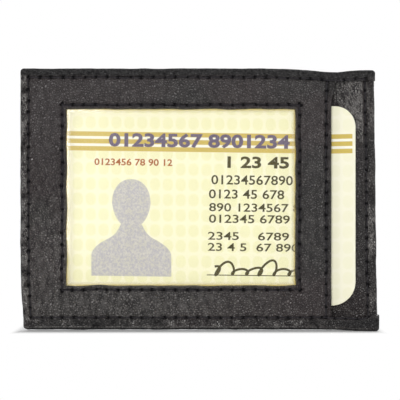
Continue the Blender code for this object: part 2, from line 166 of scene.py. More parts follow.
# Back panel: black pebbled leather, its edges thinned, turned forward round the board and
# glued down, then sewn to the front. The rivets of the clip go through it.
back_low, back_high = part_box("back_panel")
LEFT, RIGHT, HEIGHT = back_low.x, back_high.x, back_high.z
BACK_LEATHER = 0.0012
TURNED_ALLOWANCE = 0.0036
TOP_SEAM_INSET = 0.0024
LEFT_SEAM, RIGHT_SEAM = LEFT + 0.0022, RIGHT - 0.0025           # where the edge seams run
BOTTOM_SEAM, TOP_SEAM = 0.0033, HEIGHT - TOP_SEAM_INSET
BODY_CORNER = 0.0009
EDGE_ROLL = 0.0009
INNER_ROLL = 0.0005
EDGE_REACH = 0.012           # how far in from an edge its unevenness is felt
TOP_DRAWN = 0.00045          # how far the seams draw the top edge down towards its right end
DRAWN_FROM, DRAWN_OVER = 0.018, 0.014
TOP_DIP = 0.0006             # dip of the top edge beside the mouth
DIP_X, DIP_WIDTH = 0.0362, 0.0042
FRONT_RAISED, BACK_RAISED = 0.00062, 0.0002      # how far the lower edge is raised
RAISED_TO, RAISED_OVER = 0.030, 0.017
LEFT_LEAN, LEFT_LEAN_HEIGHT = 0.00085, 0.018     # the left edge leans in over its lower end
RIGHT_LEAN = 0.0009          # the right edge leans in from foot to top
LEFT_OUT, RIGHT_OUT = 0.0001, 0.00035            # how far the side edges stand out
EDGE_RIPPLES = ((0.00012, 0.007, 3.1), (0.00005, 0.0018, 0.0))     # height, size, own seed
SKIN_SWELLS = ((0.00010, 0.011, 0.0), (0.00003, 0.0034, 2.2), (0.000018, 0.00115, 4.4))
BORDER_PUFF = 0.00022        # how far the turned edge swells between the edge and the seam
BORDER_FOLD = 0.00044        # height of the folds across a crumpled border
BORDER_FOLD_SIZE = 0.0013
EDGE_PAINT = 0.8             # darkness of the edge, which is painted black
EDGE_PAINT_WIDTH = 0.0005
STITCH = 0.0031              # from one needle hole to the next
GROOVE_DEPTH = 0.00032
GROOVE_WIDTH = 0.00032
GROOVE_VARIES = 0.35         # share by which the groove's width varies
GROOVE_LUMP = 0.0009
HOLE_DEPTH = 0.00044
HOLE_WIDTH = 0.00040
HOLE_VARIES = (0.7, 1.35)    # narrowest and widest needle hole, against HOLE_WIDTH
HOLE_WANDER = 0.00022        # how far a needle hole can be off its place along the seam
HOLE_ASIDE = 0.00011         # and across it
PUCKER = 0.00020             # how far the leather swells beside a stitch
PUCKER_ASIDE = 2.4 * GROOVE_WIDTH
PUCKER_WIDTH = 1.5 * GROOVE_WIDTH
SEAM_REACH = 0.0022
GRAIN_STEP = 0.00034         # spacing of the mesh over the leather
BACK_STEP = GRAIN_STEP * 1.15
ROLL_STEP = 0.00012
FLESH_MARKS = (0.0, 0.0, 0.2)
# The dark colour is also painted shade, in the creases of the grain and on darkened borders.
LEATHER_DARK = (0.010, 0.0091, 0.0088)
LEATHER_TONE = (0.0315, 0.0270, 0.0255)
LEATHER_WARM = (0.0385, 0.0245, 0.0255)
# Pale colour of worn leather, also used for painted highlights and glints.
LEATHER_WEAR_AND_HIGHLIGHT = (0.165, 0.154, 0.146)
# Black of a dull surface that is painted shade in seams, needle holes and creases, and the black edge
# paint.
SHADE_AND_PAINT_BLACK = (0.0075, 0.007, 0.0078)
LEATHER_RELIEF = 0.00042
PEBBLE = 0.00062             # from one pebble of the grain to the next
WRINKLE = 0.00058            # from one wrinkle of creased leather to the next
WRINKLE_LEAN = math.radians(-27)
GRAIN_BEND = 0.0009          # how far the grain is bent out of a regular pattern
GRAIN_BEND_SIZE = 0.0016
STREAK = 0.0013
GLINT = 0.00046
SHINE_PATCH = 0.008
WARM_PATCH = 0.022
SEAM_FRAY = 0.0006


def ease(share):
    """Goes smoothly from 0 to 1 with a share from 0 to 1, and stays there outside it."""
    share = min(max(share, 0.0), 1.0)
    return share * share * (3.0 - 2.0 * share)


def hump(distance, width):
    return math.exp(-(distance / width) ** 2)


def uneven(x, z, size, seed):
    """Soft random value between about -1 and 1 whose lumps have this size."""
    return noise.noise(Vector((x / size, z / size, seed)))


def swells(x, z, seed, layers):
    """Sum of soft random swells, each with its own height, size and seed."""
    return sum(height * uneven(x, z, size, seed + own) for height, size, own in layers)


def rolled(distance, radius):
    """How far a rolled edge falls back from its face, at a distance in from the edge."""
    if distance >= radius:
        return 0.0
    return radius - math.sqrt(max(radius ** 2 - (radius - distance) ** 2, 0.0))


def stations(*runs):
    """Places along one side of a mesh. Each run is a start and the step used from there on."""
    places = [runs[0][0]]
    for (near, step), (far, _) in zip(runs, runs[1:]):
        count = max(1, round((far - near) / step))
        places += [near + (far - near) * index / count for index in range(1, count + 1)]
    return places


def rolled_stations(low, high, roll, step):
    """Places from low to high, finer over the rolled edge at each end."""
    return stations((low, ROLL_STEP), (low + roll, step), (high - roll, ROLL_STEP), (high, None))


class Seam:
    """A straight run of stitches along X or Z, with its needle holes."""

    def __init__(self, axis, level, start, end, seed):
        self.axis = axis
        self.level = level
        self.low, self.high = min(start, end), max(start, end)
        count = max(1, round(abs(end - start) / STITCH))
        self.pitch = (end - start) / count
        self.start = start
        draw = random.Random(seed)
        self.holes = []
        self.widths = []
        for index in range(count + 1):
            along = start + self.pitch * index + draw.uniform(-HOLE_WANDER, HOLE_WANDER)
            self.holes.append((along, level + draw.uniform(-HOLE_ASIDE, HOLE_ASIDE)))
            self.widths.append(HOLE_WIDTH * draw.uniform(*HOLE_VARIES))

    def point(self, hole):
        """A needle hole as a place in X and Z."""
        return hole if self.axis == "X" else (hole[1], hole[0])

    def dip(self, x, z):
        """Depth of the groove and of the nearest needle hole, and the swelling beside them."""
        along, across = (x, z) if self.axis == "X" else (z, x)
        side = abs(across - self.level)
        if side > SEAM_REACH:
            return 0.0, 0.0
        past = max(self.low - along, along - self.high, 0.0)
        if past > SEAM_REACH:
            return 0.0, 0.0
        fade = hump(past, GROOVE_WIDTH)
        index = min(max(round((along - self.start) / self.pitch), 0), len(self.holes) - 1)
        hole = self.holes[index]
        near = math.hypot(along - hole[0], across - hole[1])
        width = GROOVE_WIDTH * (1.0 + GROOVE_VARIES * uneven(x, z, GROOVE_LUMP, 6.0))
        groove = fade * GROOVE_DEPTH * hump(side, width)
        groove += HOLE_DEPTH * hump(near, self.widths[index])
        between = math.sin(math.pi * (along - self.start) / self.pitch) ** 2
        swell = fade * PUCKER * between * hump(side - PUCKER_ASIDE, PUCKER_WIDTH)
        return groove, swell


top_seam = Seam("X", TOP_SEAM, RIGHT_SEAM, LEFT_SEAM, 11)
left_seam = Seam("Z", LEFT_SEAM, TOP_SEAM, BOTTOM_SEAM, 12)
bottom_seam = Seam("X", BOTTOM_SEAM, LEFT_SEAM, RIGHT_SEAM, 13)
right_seam = Seam("Z", RIGHT_SEAM, BOTTOM_SEAM, TOP_SEAM, 14)
edge_seams = [top_seam, left_seam, bottom_seam, right_seam]


def sewn_place(x, z, seed, raised):
    """Where the sewn wallet has a point of the flat pattern.

    The corners are rounded. The top edge is drawn down beside the mouth, the lower edge is raised
    a little but for its right end, and the side edges lean to the right towards the foot.
    """
    middle = HEIGHT / 2
    out_x = abs(x) - (RIGHT - BODY_CORNER)
    out_z = abs(z - middle) - (middle - BODY_CORNER)
    if out_x > 0.0 and out_z > 0.0:
        share = max(out_x, out_z) / math.hypot(out_x, out_z)
        x = math.copysign(RIGHT - BODY_CORNER + out_x * share, x)
        z = middle + math.copysign(middle - BODY_CORNER + out_z * share, z - middle)
    near_top = ease(1.0 - (HEIGHT - z) / EDGE_REACH)
    near_bottom = ease(1.0 - z / EDGE_REACH)
    near_left = ease(1.0 - (x - LEFT) / EDGE_REACH)
    near_right = ease(1.0 - (RIGHT - x) / EDGE_REACH)
    drawn = -TOP_DRAWN * ease((x - DRAWN_FROM) / DRAWN_OVER) - TOP_DIP * hump(x - DIP_X, DIP_WIDTH)
    raised = raised * (1.0 - ease((x - RAISED_TO) / RAISED_OVER))
    inward = LEFT_LEAN * ease(1.0 - z / LEFT_LEAN_HEIGHT) - LEFT_OUT
    outward = RIGHT_OUT - RIGHT_LEAN * z / HEIGHT
    ripple = swells(x, z, seed, EDGE_RIPPLES)
    moved_x = x + near_left * (inward + ripple) + near_right * (outward + ripple)
    moved_z = z + near_top * (drawn + ripple) + near_bottom * (raised + ripple)
    return moved_x, moved_z


def grain_side(x, z, edge, seams, seed, crumple=0.3):
    """How far the grain side stands out at a point, and the darkness there: painted shade in seams
    and needle holes, or the black paint of the edge.
    """
    rise = -rolled(edge, EDGE_ROLL)
    if edge < TURNED_ALLOWANCE:
        share = edge / TOP_SEAM_INSET
        rise += BORDER_PUFF * (0.6 + crumple) * math.sin(math.pi * min(share, 1.0))
        fold = uneven(x + 0.5 * z, 0.4 * z - 0.8 * x, BORDER_FOLD_SIZE, seed + 7.7)
        rise += BORDER_FOLD * crumple * fold * hump(edge - TOP_SEAM_INSET / 2, TOP_SEAM_INSET / 2)
    rise += swells(x, z, seed, SKIN_SWELLS)
    groove, swell = 0.0, 0.0
    for seam in seams:
        dip = seam.dip(x, z)
        groove, swell = max(groove, dip[0]), max(swell, dip[1])
    painted = EDGE_PAINT * ease(1.0 - edge / EDGE_PAINT_WIDTH)
    return rise + swell - groove, max(min(groove / HOLE_DEPTH, 1.0), painted)


def leather_sheet(name, across, up, wanted, outer, inner, placed):
    """Makes a leather piece from a fine mesh: a grain side, a flesh side and the edges.

    outer gives the depth of the grain side with its marks (painted shade at seams and folds with
    the black edge paint, creasing, and wear with painted shade and highlights), inner the depth of
    the flesh side, wanted says which squares stay, and placed moves the flat pattern to its place
    in the sewn wallet.
    """
    columns, rows = len(across) - 1, len(up) - 1
    sheet = bmesh.new()
    layer = sheet.verts.layers.float_vector.new("marks")
    bmesh.ops.create_grid(sheet, x_segments=columns, y_segments=rows, size=0.5)
    for vert in sheet.verts:
        column = round((vert.co.x + 0.5) * columns)
        row = round((vert.co.y + 0.5) * rows)
        vert.co = (across[column], 0.0, up[row])
    waste = [face for face in sheet.faces if not wanted(*face.calc_center_median().xz)]
    bmesh.ops.delete(sheet, geom=waste, context="FACES")
    lifted = bmesh.ops.extrude_face_region(sheet, geom=sheet.faces[:], use_keep_orig=True)
    flesh = {item for item in lifted["geom"] if isinstance(item, bmesh.types.BMVert)}
    for vert in sheet.verts:
        x, z = vert.co.x, vert.co.z
        depth, marks = (inner(x, z), FLESH_MARKS) if vert in flesh else outer(x, z)
        x, z = placed(x, z)
        vert.co = (x, depth, z)
        vert[layer] = marks
    bmesh.ops.recalc_face_normals(sheet, faces=sheet.faces)
    return finished(name, sheet, sharp_degrees=60.0)


def finished(name, shape, sharp_degrees):
    """Turns a bmesh into an object at the origin, smooth but for its sharp edges."""
    mesh = bpy.data.meshes.new(name)
    shape.to_mesh(mesh)
    shape.free()
    mesh.shade_smooth()
    mesh.set_sharp_from_angle(angle=math.radians(sharp_degrees))
    piece = bpy.data.objects.new(name, mesh)
    bpy.context.scene.collection.objects.link(piece)
    return piece


def leather_finish(name, shift):
    """Black pebbled leather: painted shade in its creases and in its dull dark seams, painted glints
    and highlights on worn pebbles and ridges.
    """
    material, place = start_finish(name)
    marks = place.node("Attribute", {"attribute_name": "marks"}, None, "Vector")
    # The marks: painted shade at seams, needle holes and folds together with the black edge paint;
    # creasing; and wear, into which painted shade and highlights are laid.
    seam, creased, wear_and_painted_light = marks.part("X"), marks.part("Y"), marks.part("Z")
    moved = place.node("Mapping", None, {"Vector": place, "Location": (shift, shift, -shift)})
    bend = moved.node("TexNoise", None, {"Vector": moved.scaled(GRAIN_BEND_SIZE), "Scale": 1.0},
                      "Color")
    bent = moved.node("VectorMath", {"operation": "MULTIPLY_ADD"},
                      {0: bend, 1: (GRAIN_BEND, GRAIN_BEND, GRAIN_BEND), 2: moved})
    slanted = bent.node("Mapping", None, {"Vector": bent, "Rotation": (0.0, -WRINKLE_LEAN, 0.0)})
    crease = bent.cells(PEBBLE, feature="DISTANCE_TO_EDGE").step(0.0, 0.25)
    pebble = bent.cells(PEBBLE, feature="F1")
    fine = bent.cells(PEBBLE * 0.5, feature="F1")
    patches = moved.lumps(SHINE_PATCH, 3.0)
    hue = moved.lumps(WARM_PATCH, 2.0).step(0.42, 0.58)
    streaks = moved.lumps(STREAK, 3.0, (1.0, 1.0, 2.2))
    soft_folds = slanted.lumps(WRINKLE, 1.0, (1.0, 1.0, 2.6))
    folds = 1.0 - ((soft_folds - 0.5).size() * 5.0).least(1.0)
    ridge = folds.step(0.15, 0.85)
    # Rubbed leather is shinier, and painted highlights lie on its ridges.
    rubbed_and_highlit = creased.step(0.45, 0.9)
    strong = (0.60 + 1.1 * creased.least(0.5)) * (1.0 - 0.70 * rubbed_and_highlit)
    glints = moved.lumps(GLINT, 1.0).step(0.56, 0.68)
    # Painted shade: the creases between the pebbles, and leather whose wear mark is low, blend
    # towards the dark colour.
    tone = (wear_and_painted_light * (0.45 + 0.55 * crease * streaks.step(0.25, 0.7))).blend(LEATHER_DARK, LEATHER_TONE)
    tone = (hue * wear_and_painted_light.least(1.0) * 0.65).blend(tone, LEATHER_WARM)
    # Paler colour: worn pebble tops in shiny patches, partly wear and partly painted sheen, then
    # painted highlights on folds, painted glints on pebbles and painted highlights on the ridges of
    # rubbed leather.
    worn = crease * streaks.step(0.42, 0.75) * patches.step(0.35, 0.7) * wear_and_painted_light * 0.38
    worn = worn + 0.2 * creased * folds
    worn = worn + (0.07 + 1.25 * creased) * glints * (0.3 + 0.7 * streaks.step(0.3, 0.6))
    worn = worn + 1.2 * rubbed_and_highlit * ridge * streaks.step(0.25, 0.6)
    # Wear marks above 1 blend further towards the pale colour, as painted highlights and sheen.
    colour = (worn + (wear_and_painted_light - 1.0).most(0.0)).blend(tone, LEATHER_WEAR_AND_HIGHLIGHT)
    roughness = 0.405 - 0.10 * crease - 0.06 * patches.step(0.3, 0.75) - 0.08 * creased + 0.05 * fine
    roughness = roughness - 0.11 * glints * (0.2 + 1.6 * creased.least(0.6)) - 0.16 * rubbed_and_highlit * ridge
    height = (0.40 * crease - 0.55 * pebble - 0.15 * fine + 0.70 * streaks) * strong
    height = height + 0.9 * rubbed_and_highlit * soft_folds
    grain = surface(place, colour, roughness, height, LEATHER_RELIEF,
                    {"Specular IOR Level": 0.5})
    # A dull black surface stands in for shade: painted shade in seams, needle holes, creases and
    # between rubbed ridges, and the black edge paint.
    shade_and_paint_surface = surface(place, SHADE_AND_PAINT_BLACK, 0.85 - 0.1 * fine, height, LEATHER_RELIEF,
                   {"Specular IOR Level": 0.1})
    shade_and_edge_paint_share = (seam * (0.2 + 1.6 * moved.lumps(SEAM_FRAY, 2.0))).step(0.18, 0.72)
    painted_crease_shade = (0.55 + 0.5 * creased) * (1.0 - crease) * (0.5 + 0.5 * streaks.step(0.7, 0.3))
    painted_crease_shade = painted_crease_shade.most(0.7 * rubbed_and_highlit * (1.0 - ridge))
    end_finish(place, place.node("MixShader", None, {0: shade_and_edge_paint_share.most(painted_crease_shade), 1: grain, 2: shade_and_paint_surface}))
    return material


back_leather = leather_finish("back_leather", 0.13)
plate_low, plate_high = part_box("clip_base")
rivet_boxes = [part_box("rivet_1"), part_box("rivet_2")]
rivet_centres = [((low.x + high.x) / 2, (low.z + high.z) / 2) for low, high in rivet_boxes]
SHANK_HOLE = 0.0014          # radius of the hole for a rivet
PLATE_GAP = 0.00002          # the leather swells up to this far below the plate
PLATE_PRESS = plate_low.y - back_high.y - PLATE_GAP
PRESS_MARGIN = 0.004
BACK_WEAR = 0.6


def body_edge(x, z):
    """Distance in from the nearest edge of the wallet."""
    return min(x - LEFT, RIGHT - x, z, HEIGHT - z)


def back_outer(x, z):
    edge = body_edge(x, z)
    rise, shade_and_edge_paint = grain_side(x, z, edge, edge_seams, 21.0)
    beside = max(plate_low.x - x, x - plate_high.x, plate_low.z - z, z - plate_high.z, 0.0)
    press = ease(1.0 - beside / PRESS_MARGIN)
    creased = 0.25 if edge > TOP_SEAM_INSET else 0.5
    return back_high.y + rise * (1.0 - press) + PLATE_PRESS * press, (shade_and_edge_paint, creased, BACK_WEAR)


def back_inner(x, z):
    edge = body_edge(x, z)
    if edge > TURNED_ALLOWANCE:
        return back_high.y - BACK_LEATHER
    return back_low.y + rolled(edge, INNER_ROLL)


def back_wanted(x, z):
    return all(math.hypot(x - centre[0], z - centre[1]) > SHANK_HOLE for centre in rivet_centres)


def back_place(x, z):
    return sewn_place(x, z, 5.0, BACK_RAISED)


back_panel = leather_sheet(
    "back_panel_leather",
    rolled_stations(LEFT, RIGHT, EDGE_ROLL, BACK_STEP),
    rolled_stations(0.0, HEIGHT, EDGE_ROLL, BACK_STEP),
    back_wanted, back_outer, back_inner, back_place)
dress(back_panel, back_leather)
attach(back_panel, "wallet")
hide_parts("back_panel")


# Clip: base plate, sprung arm, hinge pin and two rivets of nickel plated steel, polished along
# their length. The arm is rolled round the pin and turned up at its tip. A satin leaf spring
# lies under the roll, and the rivets clench on washers inside the back.
NICKEL = (0.66, 0.65, 0.64)
NICKEL_SMOKY = (0.44, 0.44, 0.45)
SPRING_TONE = (0.40, 0.40, 0.42)
SPRING_BLUE = (0.30, 0.31, 0.35)
STAMPED_EDGE = 0.00010
TURNED_EDGE = 0.00005
FLAT_WITHIN = math.radians(0.5)
SHARP_FROM = math.radians(50.0)
POLISH_LINE = 0.00006        # width of the lines, whose stretch is their length against it
POLISH_STRETCH = (90.0, 1.0, 1.0)
HAIRLINE = 0.00030
HAIRLINE_STRETCH = (40.0, 1.0, 1.0)
SMUDGE = 0.007
POLISH_RELIEF, BRUSHED_RELIEF = 0.000002, 0.00001


def softened(node, name, width):
    """Copies a stamped or turned piece and takes the sharpness off its edges."""
    shape = bmesh.new()
    shape.from_mesh(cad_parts[node].data)
    bmesh.ops.remove_doubles(shape, verts=shape.verts, dist=0.000001)
    bmesh.ops.dissolve_limit(shape, angle_limit=FLAT_WITHIN, verts=shape.verts,
                             edges=shape.edges)
    sharp = [edge for edge in shape.edges
             if edge.is_manifold and edge.calc_face_angle() > SHARP_FROM]
    bmesh.ops.bevel(shape, geom=sharp, offset=width, segments=2, profile=0.5, affect="EDGES",
                    clamp_overlap=True, material=-1)
    piece = finished(name, shape, sharp_degrees=35.0)
    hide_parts(node)
    return piece


def metal_finish(name, pale, smoky, roughness, brushing):
    """Plated metal: fine polishing lines along X, a few hairlines and faint smudges."""
    material, place = start_finish(name)
    lines = place.lumps(POLISH_LINE, 3.0, POLISH_STRETCH)
    hairlines = place.lumps(HAIRLINE, 2.0, HAIRLINE_STRETCH).step(0.63, 0.72)
    smudges = place.lumps(SMUDGE, 3.0)
    colour = (smudges.step(0.25, 0.8) * 0.25 + 0.75 * lines.step(0.30, 0.62)).blend(smoky, pale)
    rough = roughness + 0.06 * smudges + brushing * lines + 0.10 * hairlines
    end_finish(place, surface(place, colour, rough, lines - 0.8 * hairlines,
                              POLISH_RELIEF + BRUSHED_RELIEF * brushing, {"Metallic": 1.0}))
    return material


nickel = metal_finish("nickel_plate", NICKEL, NICKEL_SMOKY, 0.14, 0.16)
spring_steel = metal_finish("spring_steel", SPRING_TONE, SPRING_BLUE, 0.28, 0.30)
for node, name, width, finish, body, slot in (
        ("clip_base", "clip_base_plate", STAMPED_EDGE, nickel, "wallet", "clip_steel"),
        ("clip_arm", "clip_arm_strip", STAMPED_EDGE, nickel, "arm", "clip_steel"),
        ("clip_spring", "clip_leaf_spring", TURNED_EDGE, spring_steel, "wallet", "spring_steel"),
        ("hinge_pin", "hinge_pin_turned", TURNED_EDGE, nickel, "wallet", "clip_steel"),
        ("rivet_1", "rivet_near_hinge", TURNED_EDGE, nickel, "wallet", "clip_steel"),
        ("rivet_2", "rivet_far", TURNED_EDGE, nickel, "wallet", "clip_steel")):
    clip_piece = softened(node, name, width)
    dress(clip_piece, finish)
    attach(clip_piece, body)
for node in ("rivet_washer_1", "rivet_washer_2"):
    dress(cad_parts[node], spring_steel)


# Pocket wall: the leather back of the ID pocket, one flat piece with turned edges. Its right
# band shows beside the mouth, where the leather has creased and taken a shine from use, partly
# as less roughness and partly as painted sheen and highlights on its folds.
wall_low, wall_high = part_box("pocket_wall")
front_low, front_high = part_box("front_panel")
MOUTH_MARGIN = 0.0124
MOUTH = RIGHT - MOUTH_MARGIN
WALL_ROLL = 0.0005
HIDDEN_STEP = 0.0009         # spacing of the mesh where the front panel covers the wall
BAND_STEP = 0.00028
WALL_STEP = 0.00036
FOLD_DEPTH = 0.00030
FOLD_SPACING = 0.0012
FOLD_STRETCH = 5.0
FOLD_LEAN = (0.89, 0.45)     # direction across the folds, in X and Z
UPPER_FROM, UPPER_OVER = 0.040, 0.012            # height at which the band's folds begin
CORNER_AT = 0.0605           # the folds lie beyond a slanting line through this height
CORNER_RUN = (0.010, 0.016)
BESIDE_SEAM = 0.0012
BORDER_LUMP = 0.008
LOWER_TO, LOWER_OVER = 0.014, 0.006              # the band's foot is creased up to here
HIGHEST_RISE = 0.8 * (wall_low.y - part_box("id_card")[1].y)     # the card slides over the leather


def wall_outer(x, z):
    """Grain side of the pocket wall: its band is creased, most of all above the card's corner, where
    it carries painted sheen and highlights.
    """
    edge = body_edge(x, z)
    rise, shade_and_edge_paint = grain_side(x, z, max(edge, EDGE_ROLL), (right_seam,), 31.0)
    across = FOLD_LEAN[0] * x + FOLD_LEAN[1] * z
    along = FOLD_LEAN[0] * z - FOLD_LEAN[1] * x
    corner = (x - MOUTH) / CORNER_RUN[0] + (z - CORNER_AT) / CORNER_RUN[1]
    upper = ease((z - UPPER_FROM) / UPPER_OVER) * ease((corner - 0.05) / 0.35)
    upper *= ease((RIGHT_SEAM - x) / BESIDE_SEAM)
    rise += upper * FOLD_DEPTH * uneven(across, along / FOLD_STRETCH, FOLD_SPACING, 9.0)
    border = 0.15
    if x > RIGHT_SEAM:
        border = 0.56 + 0.5 * uneven(x, z, BORDER_LUMP, 3.3)
    lower = 0.35 * ease((LOWER_TO - z) / LOWER_OVER)
    creased = max(border, upper, lower) * ease((x - MOUTH + 0.002) / 0.004)
    # Painted sheen: the band is paler above the card's corner.
    wear_and_painted_light = 0.55 + 0.7 * upper
    return wall_low.y - min(rise, HIGHEST_RISE) + rolled(edge, WALL_ROLL), (shade_and_edge_paint, creased, wear_and_painted_light)


def wall_inner(x, z):
    return wall_high.y - rolled(body_edge(x, z), WALL_ROLL)


def wall_place(x, z):
    return sewn_place(x, z, 2.0, FRONT_RAISED)


pocket_wall = leather_sheet(
    "pocket_wall_leather",
    stations((LEFT, ROLL_STEP), (LEFT + WALL_ROLL, HIDDEN_STEP), (MOUTH - 0.001, BAND_STEP),
             (RIGHT - WALL_ROLL, ROLL_STEP), (RIGHT, None)),
    rolled_stations(0.0, HEIGHT, WALL_ROLL, WALL_STEP),
    lambda x, z: True, wall_outer, wall_inner, wall_place)
dress(pocket_wall, leather_finish("wall_leather", 0.31))
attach(pocket_wall, "wallet")
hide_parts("pocket_wall")


# ID card: a laminated plastic card with round corners, loose in the pocket. Its print is a pale
# yellow ground with a faint pattern, three gold bars, a plain grey figure and lines of plain
# numbers. It sits a little askew on the card and has faded at the end that stands out.
card_low, card_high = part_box("id_card")
CARD_CORNER = 0.0056
CARD_EDGE = 0.00010
CARD_SKEW = math.radians(0.76)
CARD_RELIEF = 0.000006
CARD_SPECKLE = 0.00045
CARD_MOTTLE = 0.004
FIGURE_SPECKLE = 0.00052
FACE_DEPTH, BACK_DEPTH = 0.0002, 0.0004          # where the print ends and the plain back begins
END_LIFT = 0.035             # slope at which the print rises at the card's end
LIFTED_FROM = 0.0775
FADED_FROM, FADED_TO = 0.0745, 0.0775
FADED = 0.55
CARD_GROUND = (0.955, 0.922, 0.665)
CARD_CELL = (0.885, 0.858, 0.520)
CARD_WHITE = (0.960, 0.940, 0.80)
CARD_GOLD = (0.62, 0.455, 0.060)
CARD_GREY = (0.500, 0.478, 0.495)
CARD_BACK = (0.87, 0.86, 0.81)
CARD_BACK_DULL = (0.77, 0.76, 0.70)
CELL_WIDTH = 0.00348
CELL_HEIGHT = 0.00415
BAR_HEIGHT = 0.00118
BAR_SPACING = 0.00198
BARS_ABOVE_FOOT = 0.04472    # middle bar, above the card's lower edge
BARS_END = 0.0847            # from the card's left edge
BAND_BLUR = 0.0001           # softness of the print's edges
BAR_BLUR = 0.00006
FIGURE_BLUR = 0.00005
WORN_CORNER = 0.0064         # the lower corner at the mouth is rounder from use
FIGURE_X = 0.0249            # middle of the figure, from the card's left edge
FIGURE_FOOT = 0.0083
HEAD_HALF = (0.0052, 0.0066)
HEAD_RISE = 0.0196           # middle of the head above the figure's foot
CHIN_TAPER = 26.0            # how fast the head narrows downwards
NECK_HALF = 0.0027
NECK_FLARE = 0.0058
SHOULDER_HALF = 0.0108
SHOULDER_RISE = 0.0056
SHOULDER_ROUND = 0.0048


def flat_sheet(low, high, columns, rows):
    """A flat grid that fills the front of a box."""
    sheet = bmesh.new()
    bmesh.ops.create_grid(sheet, x_segments=columns, y_segments=rows, size=0.5)
    bmesh.ops.rotate(sheet, verts=sheet.verts, matrix=Matrix.Rotation(math.pi / 2, 3, "X"))
    bmesh.ops.scale(sheet, verts=sheet.verts, vec=(high.x - low.x, 1.0, high.z - low.z))
    bmesh.ops.translate(sheet, verts=sheet.verts,
                        vec=((low.x + high.x) / 2, low.y, (low.z + high.z) / 2))
    return sheet


def thickened(shape, thickness):
    """Draws a flat shape out into a solid, by the vector of its thickness."""
    lifted = bmesh.ops.extrude_face_region(shape, geom=shape.faces[:], use_keep_orig=True)
    bmesh.ops.translate(shape, vec=thickness, verts=[
        item for item in lifted["geom"] if isinstance(item, bmesh.types.BMVert)])


def lower_right(vert):
    return vert.co.x - vert.co.z


card = flat_sheet(card_low, card_high, 1, 1)
for is_worn, radius in ((False, CARD_CORNER), (True, WORN_CORNER)):
    worn = max(card.verts, key=lower_right)
    bmesh.ops.bevel(card, geom=[vert for vert in card.verts if (vert is worn) == is_worn],
                    offset=radius, segments=24, profile=0.5, affect="VERTICES", material=-1)
thickened(card, (0.0, card_high.y - card_low.y, 0.0))
bmesh.ops.recalc_face_normals(card, faces=card.faces)
rims = [edge for edge in card.edges if edge.calc_face_angle() > SHARP_FROM]
bmesh.ops.bevel(card, geom=rims, offset=CARD_EDGE, segments=3, profile=0.5, affect="EDGES",
                material=-1)
id_card = finished("id_card_plastic", card, sharp_degrees=30.0)
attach(id_card, "card")
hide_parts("id_card")

card_finish, card_place = start_finish("printed_card")
card_x = card_place.part("X") - card_low.x
card_z = card_place.part("Z") - card_low.z
print_z = card_z + math.tan(CARD_SKEW) * card_x
print_z = print_z - END_LIFT * (card_x - LIFTED_FROM).most(0.0)
cell_x = card_x.math("PINGPONG", card_x, CELL_WIDTH / 2) / (CELL_WIDTH / 2)
cell_z = card_z.math("PINGPONG", print_z, CELL_HEIGHT / 2) / (CELL_HEIGHT / 2)
cell = (cell_x ** 2.4 + cell_z ** 2.4).step(0.80, 0.40)
bar_line = (print_z - BARS_ABOVE_FOOT).size()
in_bars = card_x.step(BARS_END + BAND_BLUR, BARS_END)
band_half = BAR_SPACING + BAR_HEIGHT / 2
white_band = bar_line.step(band_half + BAND_BLUR, band_half)
outer_bars = (bar_line - BAR_SPACING).size().step(BAR_HEIGHT / 2 + BAR_BLUR, BAR_HEIGHT / 2)
middle_bar = bar_line.step(BAR_HEIGHT / 2 + BAR_BLUR, BAR_HEIGHT / 2)
bars = outer_bars.most(middle_bar) * in_bars
figure_x = (card_x - FIGURE_X).size()
figure_z = print_z - FIGURE_FOOT
head_z = figure_z - HEAD_RISE
head_x = figure_x * (1.0 - CHIN_TAPER * head_z.least(0.0))
head = (head_x / HEAD_HALF[0]) ** 2.2 + (head_z / HEAD_HALF[1]).size() ** 2.2
head = head.step(1.02, 0.98)
neck = figure_x.step(NECK_HALF + FIGURE_BLUR, NECK_HALF)
neck = neck * figure_z.step(HEAD_RISE, HEAD_RISE - 2.0 * FIGURE_BLUR)
slope = (1.0 - (figure_x / SHOULDER_HALF) ** 2.6).most(0.0) ** 0.6
flare = NECK_FLARE * ((figure_x / (1.2 * NECK_HALF)) ** 4.0 + 1.0) ** -1.0
shoulders = figure_z - SHOULDER_RISE - SHOULDER_ROUND * slope - flare
shoulders = shoulders.step(FIGURE_BLUR, -FIGURE_BLUR)
shoulders = shoulders * figure_x.step(SHOULDER_HALF + FIGURE_BLUR, SHOULDER_HALF)
figure = head.most(neck).most(shoulders) * figure_z.step(-FIGURE_BLUR, FIGURE_BLUR)
faded_end = FADED * card_x.step(FADED_FROM, FADED_TO)
card_back = card_place.part("Y").step(card_low.y + FACE_DEPTH, card_low.y + BACK_DEPTH)
speckle = card_place.lumps(CARD_SPECKLE, 3.0)
mottle = card_place.lumps(CARD_MOTTLE, 3.0)
card_colour = (cell * (0.55 + 0.45 * mottle)).blend(CARD_GROUND, CARD_CELL)
card_colour = (white_band * in_bars).most(faded_end).blend(card_colour, CARD_WHITE)
card_colour = (bars * (0.86 + 0.14 * speckle)).blend(card_colour, CARD_GOLD)
figure_grain = card_place.lumps(FIGURE_SPECKLE, 2.0).step(0.35, 0.65)
card_colour = (figure * (0.68 + 0.32 * figure_grain)).blend(card_colour, CARD_GREY)
back_colour = (speckle * 0.5 + mottle.step(0.3, 0.7) * 0.5).blend(CARD_BACK_DULL, CARD_BACK)
card_colour = card_back.blend(card_colour, back_colour)
end_finish(card_place, surface(card_place, card_colour, 0.44 + 0.10 * mottle,
                               0.5 * speckle + mottle, CARD_RELIEF, {"Specular IOR Level": 0.16}))
dress(id_card, card_finish)

